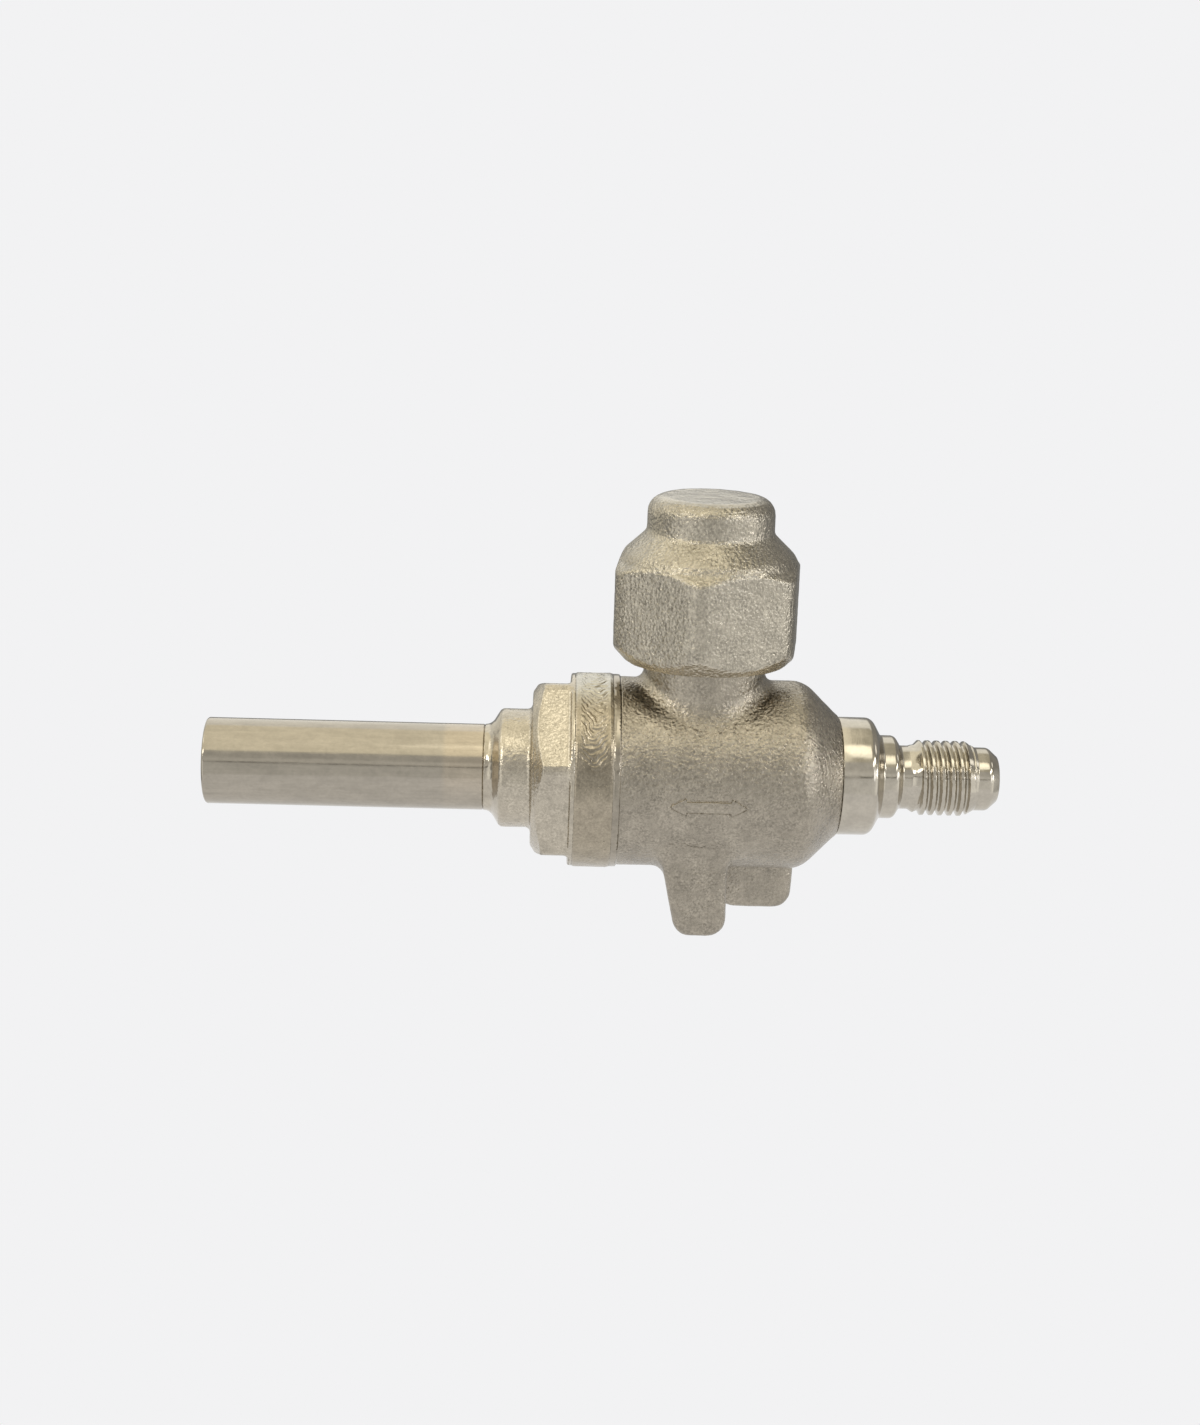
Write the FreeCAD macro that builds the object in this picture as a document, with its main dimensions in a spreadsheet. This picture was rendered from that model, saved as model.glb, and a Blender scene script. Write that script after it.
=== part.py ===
import FreeCAD, Part
import math
import os

import Sketcher
from FreeCAD import Placement, Rotation, Vector

# Stainless ball-type service valve for a refrigerant line.
#
# Row frame, millimetres, +Z up:
#   origin   centre of the two mounting feet's hole pattern, on the plane of the feet
#   +X       along the flow axis, from the weld tube towards the threaded service port
#   +Z       along the stem, towards the cap
#
# Every sub-part is drawn in the valve's own construction frame, whose X axis is the flow
# axis and whose Z axis is the stem axis. Its Placement then moves it to the row frame by
# (stem_off, 0, axis_up).

# ------------------------------------------------------------------ driving dimensions
TABLE = [
    # placement of the construction frame
    ("stem_off", -5.6, "X of the stem axis from the feet pattern's centre"),
    ("axis_up", 24.0, "height of the flow axis over the plane of the feet"),
    # cast body: barrel
    ("barrel_rad", 15.04, "barrel outer radius"),
    ("lip_rad", 15.35, "raised lip beside the closing weld"),
    ("lip_end", -12.9, "X where the lip has run out into the barrel"),
    ("butt_x", -17.3, "X of the butt face between body and end adapter"),
    ("groove_root", 13.2, "root radius of the closing weld's V groove"),
    ("groove_right", -14.3, "X of the weld groove's edge on the body"),
    ("groove_left", -20.2, "X of the weld groove's edge on the adapter"),
    ("cone_start", 16.1, "X where the barrel turns into its end cone"),
    ("cone_end", 21.8, "X of the barrel's right end"),
    ("cone_rad", 9.55, "radius of the cone's small end"),
    ("cone_round", 3.0, "rounding between barrel and cone"),
    # cast body: hollow
    ("spigot_bore", 11.0, "bore that takes the adapter's spigot"),
    ("spigot_stop", -10.3, "X of the shoulder the spigot stops on"),
    ("cavity_rad", 9.0, "radius of the ball cavity"),
    ("cavity_half", 9.5, "half length of the ball cavity"),
    ("port_way", 4.25, "radius of the flow way"),
    ("port_seat_x", 13.0, "X of the shoulder inside the port bore"),
    ("port_bore_rad", 7.0, "bore that takes the service port's spigot"),
    # cast body: bonnet neck
    ("neck_rad", 9.6, "neck outer radius"),
    ("neck_top", 18.6, "top of the plain neck"),
    ("neck_round", 1.8, "fillet between neck and barrel"),
    ("bonnet_rad", 9.95, "major radius of the bonnet's cap thread, M20x1.5"),
    ("bonnet_relief", 9.1, "radius of the thread's run-out groove"),
    ("bonnet_thread_low", 19.9, "bottom of the bonnet thread"),
    ("bonnet_top", 27.5, "rim of the bonnet"),
    ("flange_bore", 5.4, "bore round the stem's inner flange"),
    ("flange_bore_top", 11.2, "roof of that bore"),
    ("stem_bore", 4.05, "bore the stem turns in"),
    ("gland_bore", 6.2, "threaded bore of the gland nut"),
    ("gland_floor", 20.0, "floor of the gland bore"),
    # cast body: mounting feet
    ("foot_depth", 8.6, "depth of a foot along Y"),
    ("hole_dx", 11.0, "distance along X between the two foot holes"),
    ("hole_dy", 14.0, "distance along Y between the two foot holes"),
    ("hole_rad", 1.65, "M4 tapping drill radius"),
    ("hole_deep", 8.5, "depth of the foot holes"),
    ("foot_left_low", -3.7, "X of a foot's left side at the bottom, from its hole"),
    ("foot_left_high", -6.9, "X of a foot's left side at the top, from its hole"),
    ("foot_right_low", 4.3, "X of a foot's right side at the bottom, from its hole"),
    ("foot_right_high", 4.2, "X of a foot's right side at the top, from its hole"),
    ("foot_high", -9.0, "Z that a foot reaches up to inside the barrel"),
    ("rear_left_low", -7.1, "X of the rear foot's left side at the bottom"),
    ("rear_right_low", 4.9, "X of the rear foot's right side at the bottom"),
    ("rear_right_high", 5.6, "X of the rear foot's right side at the top"),
    ("foot_corner", 2.9, "rounding of a foot's lower corners"),
    ("foot_edge", 1.5, "rounding of a foot's upright edges"),
    # raised flow arrow on the front of the barrel
    ("arrow_mid", 0.5, "X of the arrow's middle"),
    ("arrow_z", -1.2, "Z of the arrow's middle"),
    ("arrow_half", 6.13, "half length of the arrow"),
    ("arrow_neck", 3.4, "X from the middle to the arrow heads' backs"),
    ("arrow_head", 1.5, "half height of the heads"),
    ("arrow_shaft", 0.9, "half height of the shaft"),
    ("arrow_proud", 0.25, "how far the arrow stands proud of the barrel"),
    # end adapter
    ("tube_joint", -34.4, "X of the butt joint with the tube"),
    ("tube_rad", 6.85, "tube outer radius, DN8 pipe"),
    ("tube_wall", 1.65, "tube wall"),
    ("flare_low", -33.3, "X where the adapter starts to flare"),
    ("flare_high", -31.75, "X where the flare reaches the collar"),
    ("collar_rad", 9.46, "adapter collar radius"),
    ("hex_left", -26.7, "X of the adapter hexagon's left face"),
    ("hex_right", -20.9, "X of the adapter hexagon's right end"),
    ("hex_across", 27.0, "adapter hexagon across flats"),
    ("hex_turn", 164.5, "turn of the adapter hexagon's near corner, degrees from +Y"),
    ("hex_corner", 2.4, "rounding of the hexagon's corners"),
    ("hex_face_rad", 12.3, "radius of the hexagon's flat left face"),
    ("adapter_flange", 15.3, "radius of the flange beside the weld"),
    ("spigot_rad", 10.97, "adapter spigot radius"),
    ("nose_rad", 8.9, "radius of the adapter nose that holds the seat"),
    # closing weld
    ("weld_rad", 15.5, "crown radius of the weld bead"),
    ("weld_edge", 0.35, "width of the bead's rolled edge"),
    # tube
    ("tube_end", -78.3, "X of the tube's open end"),
    ("tube_break", 0.45, "broken edge at the open end"),
    ("seam_break", 0.15, "small chamfer at the tube's butt joint"),
    # service port
    ("port_spigot", 6.97, "spigot radius"),
    ("port_inner", 13.1, "X of the spigot's inner face"),
    ("ring_rad", 9.4, "large collar radius"),
    ("ring_end", 27.05, "X where the large collar's chamfer starts"),
    ("ring_round", 1.6, "rounding of the large collar's edge"),
    ("small_start", 28.6, "X where the small collar starts"),
    ("small_rad", 6.64, "small collar radius"),
    ("small_end", 30.85, "X where the small collar's chamfer starts"),
    ("small_round", 1.0, "rounding of the small collar's edge"),
    ("waist_start", 31.85, "X where the waist starts"),
    ("waist_rad", 5.07, "waist radius"),
    ("waist_end", 33.3, "X where the waist ends"),
    ("thread_start", 34.8, "X where the full thread starts"),
    ("thread_rad", 6.0, "major radius of the port thread, M12x1.5"),
    ("thread_end", 42.2, "X where the full thread ends"),
    ("nose_start", 43.9, "X where the plain nose starts"),
    ("port_nose", 5.05, "nose radius"),
    ("nose_chamfer", 45.95, "X where the nose's end chamfer starts"),
    ("port_end", 47.45, "X of the port's end face"),
    ("face_rad", 3.7, "radius of the end face"),
    ("port_hole", 2.5, "port bore radius"),
    ("port_mouth", 0.5, "chamfer of the port bore's mouth"),
    # ball and seats
    ("ball_rad", 8.0, "ball radius"),
    ("slot_wide", 3.1, "width of the ball's stem slot"),
    ("slot_floor", 5.3, "floor of the stem slot"),
    ("seat_rad", 8.9, "seat ring outer radius"),
    ("seat_hole", 4.4, "seat ring inner radius"),
    ("seat_front", 4.63, "X of the seat's front"),
    ("seat_gap", 0.03, "gap between the ball and the seat's spherical face"),
    ("seat_step", 7.6, "radius of the seat's O-ring step"),
    ("seat_step_x", 8.25, "X of the seat's O-ring step"),
    ("seat_ring_mid", 8.27, "seat O-ring, radius of its centre line"),
    ("seat_ring_rad", 0.6, "seat O-ring section radius"),
    # stem
    ("tang_thick", 3.0, "tang thickness along X"),
    ("tang_wide", 8.0, "tang width along Y"),
    ("tang_low", 5.4, "bottom of the tang"),
    ("stem_flange", 5.2, "radius of the blow-out flange"),
    ("stem_flange_low", 9.1, "bottom of the flange"),
    ("stem_flange_top", 10.6, "top of the flange"),
    ("stem_rad", 4.0, "stem radius"),
    ("groove_rad", 3.0, "floor radius of the stem's O-ring grooves"),
    ("groove_a", 12.6, "bottom of the lower O-ring groove"),
    ("groove_b", 15.6, "bottom of the upper O-ring groove"),
    ("groove_wide", 1.5, "width of an O-ring groove"),
    ("stem_ring_mid", 3.52, "stem O-ring, radius of its centre line"),
    ("stem_ring_rad", 0.5, "stem O-ring section radius"),
    ("square_low", 27.6, "bottom of the stem's square"),
    ("square_across", 5.6, "square across flats"),
    ("stem_top", 38.0, "top of the stem"),
    ("driver_wide", 1.4, "width of the screwdriver slot"),
    ("driver_deep", 2.0, "depth of the screwdriver slot"),
    ("clip_groove_rad", 3.4, "radius of the retaining ring's groove"),
    ("clip_low", 29.35, "bottom of the retaining ring"),
    ("clip_thick", 0.8, "retaining ring thickness"),
    ("clip_rad", 5.0, "retaining ring outer radius"),
    # packing, gland, stop
    ("washer_low", 10.65, "bottom of the thrust washer"),
    ("packing_top", 21.5, "top of the packing ring"),
    ("packing_rad", 6.15, "packing ring outer radius"),
    ("gland_rad", 6.15, "gland nut outer radius"),
    ("gland_top", 27.3, "top of the gland nut"),
    ("gland_hole", 4.1, "gland nut bore"),
    ("gland_slot_wide", 1.6, "width of the gland nut's spanner slot"),
    ("gland_slot_deep", 1.4, "depth of the gland nut's spanner slot"),
    ("pin_place", 7.3, "distance of the stop pin from the stem axis"),
    ("pin_rad", 0.9, "stop pin radius"),
    ("pin_low", 25.0, "bottom of the stop pin"),
    ("pin_top", 29.1, "top of the stop pin"),
    ("pin_angle", 45.0, "direction of the stop pin from +X, degrees"),
    ("plate_low", 27.75, "bottom of the stop plate"),
    ("plate_thick", 1.5, "stop plate thickness"),
    ("plate_rad", 8.3, "stop plate outer radius"),
    ("plate_core", 6.0, "stop plate radius in its cut-out"),
    ("stop_slack", 7.9, "half angle that the pin takes up in the cut-out, degrees"),
    ("plate_fit", 0.05, "clearance round the square"),
    # cap and its seal
    ("seal_in", 8.6, "cap seal inner radius"),
    ("seal_out", 9.85, "cap seal outer radius"),
    ("seal_thick", 1.2, "cap seal thickness"),
    ("cap_low", 18.7, "bottom face of the cap"),
    ("cap_top", 44.5, "top face of the cap"),
    ("cap_across", 28.0, "cap hexagon across flats"),
    ("cap_turn", 261.25, "turn of the cap hexagon's near corner, degrees from +X"),
    ("cap_corner", 3.8, "rounding of the cap's corners"),
    ("crown_rad", 9.95, "crown radius"),
    ("crown_low", 38.9, "Z where the crown meets the shoulder"),
    ("crown_round", 2.7, "rounding of the crown's top edge"),
    ("crown_fillet", 1.6, "fillet at the foot of the crown"),
    ("shoulder_rad", 13.3, "radius where the shoulder steepens"),
    ("shoulder_z", 35.75, "Z where the shoulder steepens"),
    ("brow_rad", 14.0, "radius of the shoulder's outer turn"),
    ("brow_z", 34.45, "Z of the shoulder's outer turn"),
    ("skirt_rad", 12.9, "radius of the cap's bottom face"),
    ("skirt_out", 16.9, "radius where the corners' bottom chamfer ends"),
    ("skirt_z", 22.9, "Z where the corners' bottom chamfer ends"),
    ("cap_mouth", 10.7, "counterbore radius at the cap's mouth"),
    ("cap_mouth_top", 19.4, "top of that counterbore"),
    ("cap_thread", 10.05, "cap thread bore radius"),
    ("cap_seat", 28.7, "Z of the cap's sealing shoulder"),
    ("cap_room", 8.5, "cap inner radius over the stop plate"),
    ("cap_room_top", 36.0, "top of that room"),
    ("crown_room", 8.0, "inner radius in the crown"),
    ("crown_roof", 41.3, "inner roof of the crown"),
]


class Size(float):
    """A length or angle that remembers the sheet formula it comes from."""

    def __new__(cls, value, text):
        made = float.__new__(cls, value)
        made.text = text
        return made

    def __add__(self, other):
        return Size(float(self) + float(other), "(%s + %s)" % (self.text, formula(other)))

    def __radd__(self, other):
        return Size(float(other) + float(self), "(%s + %s)" % (formula(other), self.text))

    def __sub__(self, other):
        return Size(float(self) - float(other), "(%s - %s)" % (self.text, formula(other)))

    def __rsub__(self, other):
        return Size(float(other) - float(self), "(%s - %s)" % (formula(other), self.text))

    def __mul__(self, other):
        return Size(float(self) * float(other), "(%s * %s)" % (self.text, formula(other)))

    def __rmul__(self, other):
        return Size(float(other) * float(self), "(%s * %s)" % (formula(other), self.text))

    def __truediv__(self, other):
        return Size(float(self) / float(other), "(%s / %s)" % (self.text, formula(other)))

    def __neg__(self):
        return Size(-float(self), "(-1 * %s)" % self.text)


def formula(x):
    return x.text if isinstance(x, Size) else "%.6f" % float(x)


def cosine(angle, turn=0.0):
    """Cosine of a sheet angle plus a fixed turn, both in degrees."""
    return Size(math.cos(math.radians(float(angle) + turn)), "cos((%s + %.6f) * 1deg)" % (angle.text, turn))


def sine(angle, turn=0.0):
    return Size(math.sin(math.radians(float(angle) + turn)), "sin((%s + %.6f) * 1deg)" % (angle.text, turn))


doc = FreeCAD.newDocument("service_valve")
sheet = doc.addObject("Spreadsheet::Sheet", "dims")
D = {}
for row, (alias, value, note) in enumerate(TABLE, start=1):
    sheet.set("A%d" % row, alias)
    sheet.set("B%d" % row, str(value))
    sheet.setAlias("B%d" % row, alias)
    sheet.set("C%d" % row, note)
    D[alias] = Size(value, "dims." + alias)
doc.recompute()

SUBPARTS = []


# ------------------------------------------------------------------ drawing helpers
def bind(thing, prop, size):
    """Sets a property from a size, and ties it to the sheet where the size comes from there."""
    if isinstance(size, Size):
        thing.setExpression(prop, size.text)
    elif "." not in prop:
        setattr(thing, prop, float(size))


def new_body(label):
    body = doc.addObject("PartDesign::Body", label)
    body.Label = label
    SUBPARTS.append(body)
    return body


def settle(thing):
    """Moves a finished sub-part from the construction frame to the row frame."""
    thing.setExpression("Placement.Base.x", "dims.stem_off")
    thing.setExpression("Placement.Base.z", "dims.axis_up")


def plane_of(body, role):
    for feature in body.Origin.OriginFeatures:
        if feature.Role == role:
            return feature
    raise ValueError(role)


def new_sketch(body, name, role, lift=None):
    sketch = body.newObject("Sketcher::SketchObject", name)
    sketch.AttachmentSupport = (plane_of(body, role), [""])
    sketch.MapMode = "FlatFace"
    if lift is not None:
        sketch.AttachmentOffset = Placement(Vector(0, 0, float(lift)), Rotation())
        bind(sketch, "AttachmentOffset.Base.z", lift)
    return sketch


def pin_point(sketch, geo, pos, x, y):
    """Holds one point of a sketch at x, y, each tied to the sheet."""
    for kind, axis, value in (("DistanceX", -2, x), ("DistanceY", -1, y)):
        if not isinstance(value, Size) and float(value) == 0.0:
            sketch.addConstraint(Sketcher.Constraint("PointOnObject", geo, pos, axis))
            continue
        index = sketch.addConstraint(Sketcher.Constraint(kind, -1, 1, geo, pos, float(value)))
        if isinstance(value, Size):
            sketch.setExpression("Constraints[%d]" % index, value.text)


def outline(body, name, role, points, lift=None):
    """A closed polygon whose corners are held at sheet sizes."""
    sketch = new_sketch(body, name, role, lift)
    n = len(points)
    for i in range(n):
        a, b = points[i], points[(i + 1) % n]
        sketch.addGeometry(Part.LineSegment(Vector(float(a[0]), float(a[1]), 0), Vector(float(b[0]), float(b[1]), 0)), False)
    for i in range(n):
        sketch.addConstraint(Sketcher.Constraint("Coincident", i, 2, (i + 1) % n, 1))
    for i in range(n):
        pin_point(sketch, i, 1, points[i][0], points[i][1])
    return sketch


def disc(body, name, role, x, y, radius, lift=None):
    """A circle whose centre and radius are held at sheet sizes."""
    sketch = new_sketch(body, name, role, lift)
    sketch.addGeometry(Part.Circle(Vector(float(x), float(y), 0), Vector(0, 0, 1), float(radius)), False)
    pin_point(sketch, 0, 3, x, y)
    index = sketch.addConstraint(Sketcher.Constraint("Radius", 0, float(radius)))
    bind(sketch, "Constraints[%d]" % index, radius)
    return sketch


def turn(body, name, points, axis, cut=False):
    """Revolves a profile drawn on XZ about the flow axis ("X") or the stem axis ("Z")."""
    before = body.Shape.Volume if cut else 0
    sketch = outline(body, name + "_profile", "XZ_Plane", points)
    feature = body.newObject("PartDesign::Groove" if cut else "PartDesign::Revolution", name)
    feature.Profile = sketch
    feature.ReferenceAxis = (sketch, ["H_Axis" if axis == "X" else "V_Axis"])
    feature.Angle = 360.0
    doc.recompute()
    if cut and not feature.Shape.Volume < before - 0.05:
        raise RuntimeError(name + " cuts nothing")
    return feature


def pad(body, name, sketch, length, back=False):
    feature = body.newObject("PartDesign::Pad", name)
    feature.Profile = sketch
    bind(feature, "Length", length)
    feature.Reversed = back
    doc.recompute()
    return feature


def pocket(body, name, sketch, length, back=False):
    before = body.Shape.Volume
    feature = body.newObject("PartDesign::Pocket", name)
    feature.Profile = sketch
    bind(feature, "Length", length)
    feature.Reversed = back
    doc.recompute()
    if not feature.Shape.Volume < before - 0.05:
        raise RuntimeError(name + " cuts nothing")
    return feature


def rounding(body, name, base, edges, radius):
    if not edges:
        raise RuntimeError(name + " finds no edge")
    feature = body.newObject("PartDesign::Fillet", name)
    feature.Base = (base, edges)
    bind(feature, "Radius", radius)
    doc.recompute()
    return feature


def curve_of(edge):
    """The edge's curve, or None where it is of no simple kind."""
    try:
        return edge.Curve
    except TypeError:
        return None


def rims(feature, axis, at, radius, tol=0.02):
    """Names of a feature's circular edges round the X or Z axis, at one station and radius."""
    found = []
    for i, edge in enumerate(feature.Shape.Edges, start=1):
        curve = curve_of(edge)
        if isinstance(curve, Part.Circle) and abs(curve.Radius - float(radius)) < tol:
            along = curve.Center.x if axis == "X" else curve.Center.z
            if abs(along - float(at)) < tol:
                found.append("Edge%d" % i)
    return found


def straight(feature, test):
    """Names of a feature's straight edges whose two ends pass a test."""
    found = []
    for i, edge in enumerate(feature.Shape.Edges, start=1):
        if isinstance(curve_of(edge), Part.Line) and test(edge.Vertexes[0].Point, edge.Vertexes[-1].Point):
            found.append("Edge%d" % i)
    return found


def hexagon(across, angle):
    """Corners of a hexagon across flats, with its first corner at a sheet angle."""
    reach = across / 2 / math.cos(math.pi / 6)
    return [(reach * cosine(angle, 60.0 * i), reach * sine(angle, 60.0 * i)) for i in range(6)]


def primitive(kind, name, **sizes):
    made = doc.addObject(kind, name)
    for prop, size in sizes.items():
        bind(made, prop, size)
    return made


def boolean(kind, name, base, tool):
    made = doc.addObject(kind, name)
    made.Base = base
    made.Tool = tool
    return made


def finished(thing, label):
    thing.Label = label
    SUBPARTS.append(thing)
    return thing


# ------------------------------------------------------------------ cast body
# One casting: barrel, bonnet neck, two mounting feet and the flow arrow, then machined inside.
body = doc.addObject("PartDesign::Body", "casting")
barrel = turn(body, "barrel", [
    (D["butt_x"], 0.0),
    (D["butt_x"], D["groove_root"]),
    (D["groove_right"], D["lip_rad"]),
    (D["lip_end"], D["barrel_rad"]),
    (D["cone_start"], D["barrel_rad"]),
    (D["cone_end"], D["cone_rad"]),
    (D["cone_end"], 0.0),
], "X")
base = rounding(body, "cone_rounding", barrel, rims(barrel, "X", D["cone_start"], D["barrel_rad"]), D["cone_round"])

# Flow arrow: one flat double-headed arrow, raised on the front of the barrel.
mid, az = D["arrow_mid"], D["arrow_z"]
arrow = outline(body, "arrow_shape", "XZ_Plane", [
    (mid - D["arrow_half"], az),
    (mid - D["arrow_neck"], az - D["arrow_head"]),
    (mid - D["arrow_neck"], az - D["arrow_shaft"]),
    (mid + D["arrow_neck"], az - D["arrow_shaft"]),
    (mid + D["arrow_neck"], az - D["arrow_head"]),
    (mid + D["arrow_half"], az),
    (mid + D["arrow_neck"], az + D["arrow_head"]),
    (mid + D["arrow_neck"], az + D["arrow_shaft"]),
    (mid - D["arrow_neck"], az + D["arrow_shaft"]),
    (mid - D["arrow_neck"], az + D["arrow_head"]),
])
pad(body, "arrow_block", arrow, D["barrel_rad"] + 2.0)
turn(body, "arrow_skim", [
    (mid - D["arrow_half"] - 1.0, D["barrel_rad"] + D["arrow_proud"]),
    (mid + D["arrow_half"] + 1.0, D["barrel_rad"] + D["arrow_proud"]),
    (mid + D["arrow_half"] + 1.0, D["barrel_rad"] + 3.0),
    (mid - D["arrow_half"] - 1.0, D["barrel_rad"] + 3.0),
], "X", cut=True)

# Bonnet neck, with the outside thread for the cap.
neck = turn(body, "neck", [
    (0.0, 0.0),
    (D["neck_rad"], 0.0),
    (D["neck_rad"], D["neck_top"]),
    (D["bonnet_relief"], D["neck_top"] + 0.5),
    (D["bonnet_relief"], D["bonnet_thread_low"] - 0.5),
    (D["bonnet_rad"], D["bonnet_thread_low"]),
    (D["bonnet_rad"], D["bonnet_top"] - 0.5),
    (D["bonnet_rad"] - 0.5, D["bonnet_top"]),
    (0.0, D["bonnet_top"]),
], "Z")


def seam_edges(feature, first, second):
    """Edges where two cylinders of given radii meet."""
    found = []
    for i, edge in enumerate(feature.Shape.Edges, start=1):
        radii = sorted(
            round(face.Surface.Radius, 3)
            for face in feature.Shape.ancestorsOfType(edge, Part.Face)
            if isinstance(face.Surface, Part.Cylinder)
        )
        if radii == sorted((round(float(first), 3), round(float(second), 3))):
            found.append("Edge%d" % i)
    return found


base = rounding(body, "neck_fillet", neck, seam_edges(neck, D["neck_rad"], D["barrel_rad"]), D["neck_round"])

# Hollow along the flow axis: spigot bore, ball cavity, flow way and port bore.
turn(body, "flow_hollow", [
    (D["butt_x"] - 1.0, 0.0),
    (D["butt_x"] - 1.0, D["spigot_bore"]),
    (D["spigot_stop"], D["spigot_bore"]),
    (D["spigot_stop"], D["cavity_rad"]),
    (D["cavity_half"], D["cavity_rad"]),
    (D["cavity_half"], D["port_way"]),
    (D["port_seat_x"], D["port_way"]),
    (D["port_seat_x"], D["port_bore_rad"]),
    (D["cone_end"] + 1.0, D["port_bore_rad"]),
    (D["cone_end"] + 1.0, 0.0),
], "X", cut=True)

# Hollow along the stem axis: flange bore, stem bore and the threaded gland bore.
turn(body, "stem_hollow", [
    (0.0, 0.0),
    (D["flange_bore"], 0.0),
    (D["flange_bore"], D["flange_bore_top"]),
    (D["stem_bore"], D["flange_bore_top"]),
    (D["stem_bore"], D["gland_floor"]),
    (D["gland_bore"], D["gland_floor"]),
    (D["gland_bore"], D["bonnet_top"] + 1.0),
    (0.0, D["bonnet_top"] + 1.0),
], "Z", cut=True)

# Pin hole in the bonnet's rim for the stop pin.
pin_x = D["pin_place"] * cosine(D["pin_angle"])
pin_y = D["pin_place"] * sine(D["pin_angle"])
pocket(body, "stop_pin_hole", disc(body, "stop_pin_spot", "XY_Plane", pin_x, pin_y, D["pin_rad"], lift=D["bonnet_top"]),
       D["bonnet_top"] - D["pin_low"])

# Two mounting feet, staggered, one each side of the flow axis. Each is drawn as its own
# block that reaches up into the barrel's wall, with cast rounding and a blind tapped hole.
side = D["hole_dy"] / 2
half_deep = D["foot_depth"] / 2
low = -float(D["axis_up"])


def sole_corners(feature):
    return straight(feature, lambda a, b: abs(a.z - low) < 0.01 and abs(b.z - low) < 0.01 and abs(a.x - b.x) < 0.01)


def side_rims(feature):
    """Edges round a foot's two flat sides, all but the top ones inside the barrel."""
    found = []
    for i, edge in enumerate(feature.Shape.Edges, start=1):
        a, b = edge.Vertexes[0].Point, edge.Vertexes[-1].Point
        if abs(a.y - b.y) < 0.01 and len(edge.Vertexes) == 2 and min(a.z, b.z) < -9.5:
            found.append("Edge%d" % i)
    return found


def mounting_foot(name, x, y, left_low, right_low, right_high, left_high):
    block = doc.addObject("PartDesign::Body", name)
    block.Label = name
    shape = outline(block, name + "_shape", "XZ_Plane", [
        (x + left_low, -D["axis_up"]),
        (x + right_low, -D["axis_up"]),
        (x + right_high, D["foot_high"]),
        (x + left_high, D["foot_high"]),
    ], lift=-1 * y - half_deep)
    made = pad(block, name + "_pad", shape, D["foot_depth"])
    made = rounding(block, name + "_corners", made, sole_corners(made), D["foot_corner"])
    made = rounding(block, name + "_rims", made, side_rims(made), D["foot_edge"])
    spot = disc(block, name + "_hole_spot", "XY_Plane", x, y, D["hole_rad"], lift=-D["axis_up"])
    pocket(block, name + "_hole", spot, D["hole_deep"], back=True)
    return block


front_x = -1 * D["hole_dx"] / 2 - D["stem_off"]
rear_x = D["hole_dx"] / 2 - D["stem_off"]
feet = [
    mounting_foot("front_foot", front_x, -1 * side, D["foot_left_low"], D["foot_right_low"], D["foot_right_high"], D["foot_left_high"]),
    mounting_foot("rear_foot", rear_x, side, D["rear_left_low"], D["rear_right_low"], D["rear_right_high"], D["rear_left_low"]),
]
whole = doc.addObject("Part::MultiFuse", "casting_whole")
whole.Shapes = [body] + feet
doc.recompute()
settle(finished(whole, "valve_body"))

# ------------------------------------------------------------------ end adapter
# Cast hexagon fitting that closes the ball cavity and carries the weld tube.
body = new_body("end_adapter")
adapter = turn(body, "adapter_turned", [
    (D["tube_joint"], 0.0),
    (D["tube_joint"], D["tube_rad"]),
    (D["flare_low"], D["tube_rad"]),
    (D["flare_high"], D["collar_rad"]),
    (D["hex_left"], D["collar_rad"]),
    (D["hex_left"], D["hex_face_rad"]),
    (D["hex_right"], D["hex_face_rad"]),
    (D["hex_right"], D["adapter_flange"]),
    (D["groove_left"], D["adapter_flange"]),
    (D["butt_x"], D["groove_root"]),
    (D["butt_x"], D["spigot_rad"]),
    (D["spigot_stop"], D["spigot_rad"]),
    (D["spigot_stop"], D["nose_rad"]),
    (-D["cavity_half"], D["nose_rad"]),
    (-D["cavity_half"], 0.0),
], "X")
base = rounding(body, "flare_root", adapter, rims(adapter, "X", D["flare_low"], D["tube_rad"]), 1.7)
base = rounding(body, "flare_edge", base, rims(base, "X", D["flare_high"], D["collar_rad"]), 0.9)
base = rounding(body, "collar_root", base, rims(base, "X", D["hex_left"], D["collar_rad"]), 1.0)
base = rounding(body, "flange_edge", base, rims(base, "X", D["hex_right"], D["adapter_flange"]), 0.4)

hexa = outline(body, "hexagon_shape", "YZ_Plane", hexagon(D["hex_across"], D["hex_turn"]), lift=D["hex_left"])
hexa = pad(body, "hexagon", hexa, D["hex_right"] - D["hex_left"])
base = rounding(body, "hexagon_corners", hexa, straight(
    hexa, lambda a, b: abs(a.y - b.y) < 0.01 and abs(a.z - b.z) < 0.01 and math.hypot(a.y, a.z) > 14.5), D["hex_corner"])
# The left face is turned to a crowned edge, which leaves the curved arcs on the flats.
turn(body, "hexagon_crown", [
    (D["hex_left"] - 1.0, D["hex_face_rad"] - 0.4),
    (D["hex_left"], D["hex_face_rad"] - 0.4),
    (D["hex_left"] + 0.12, D["hex_face_rad"] + 0.2),
    (D["hex_left"] + 0.35, D["hex_face_rad"] + 0.7),
    (D["hex_left"] + 0.7, D["hex_face_rad"] + 1.2),
    (D["hex_left"] + 1.1, D["hex_face_rad"] + 1.8),
    (D["hex_left"] + 1.45, D["hex_face_rad"] + 2.6),
    (D["hex_left"] + 1.6, D["hex_face_rad"] + 3.2),
    (D["hex_left"] + 1.6, D["hex_face_rad"] + 5.0),
    (D["hex_left"] - 1.0, D["hex_face_rad"] + 5.0),
], "X", cut=True)
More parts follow.
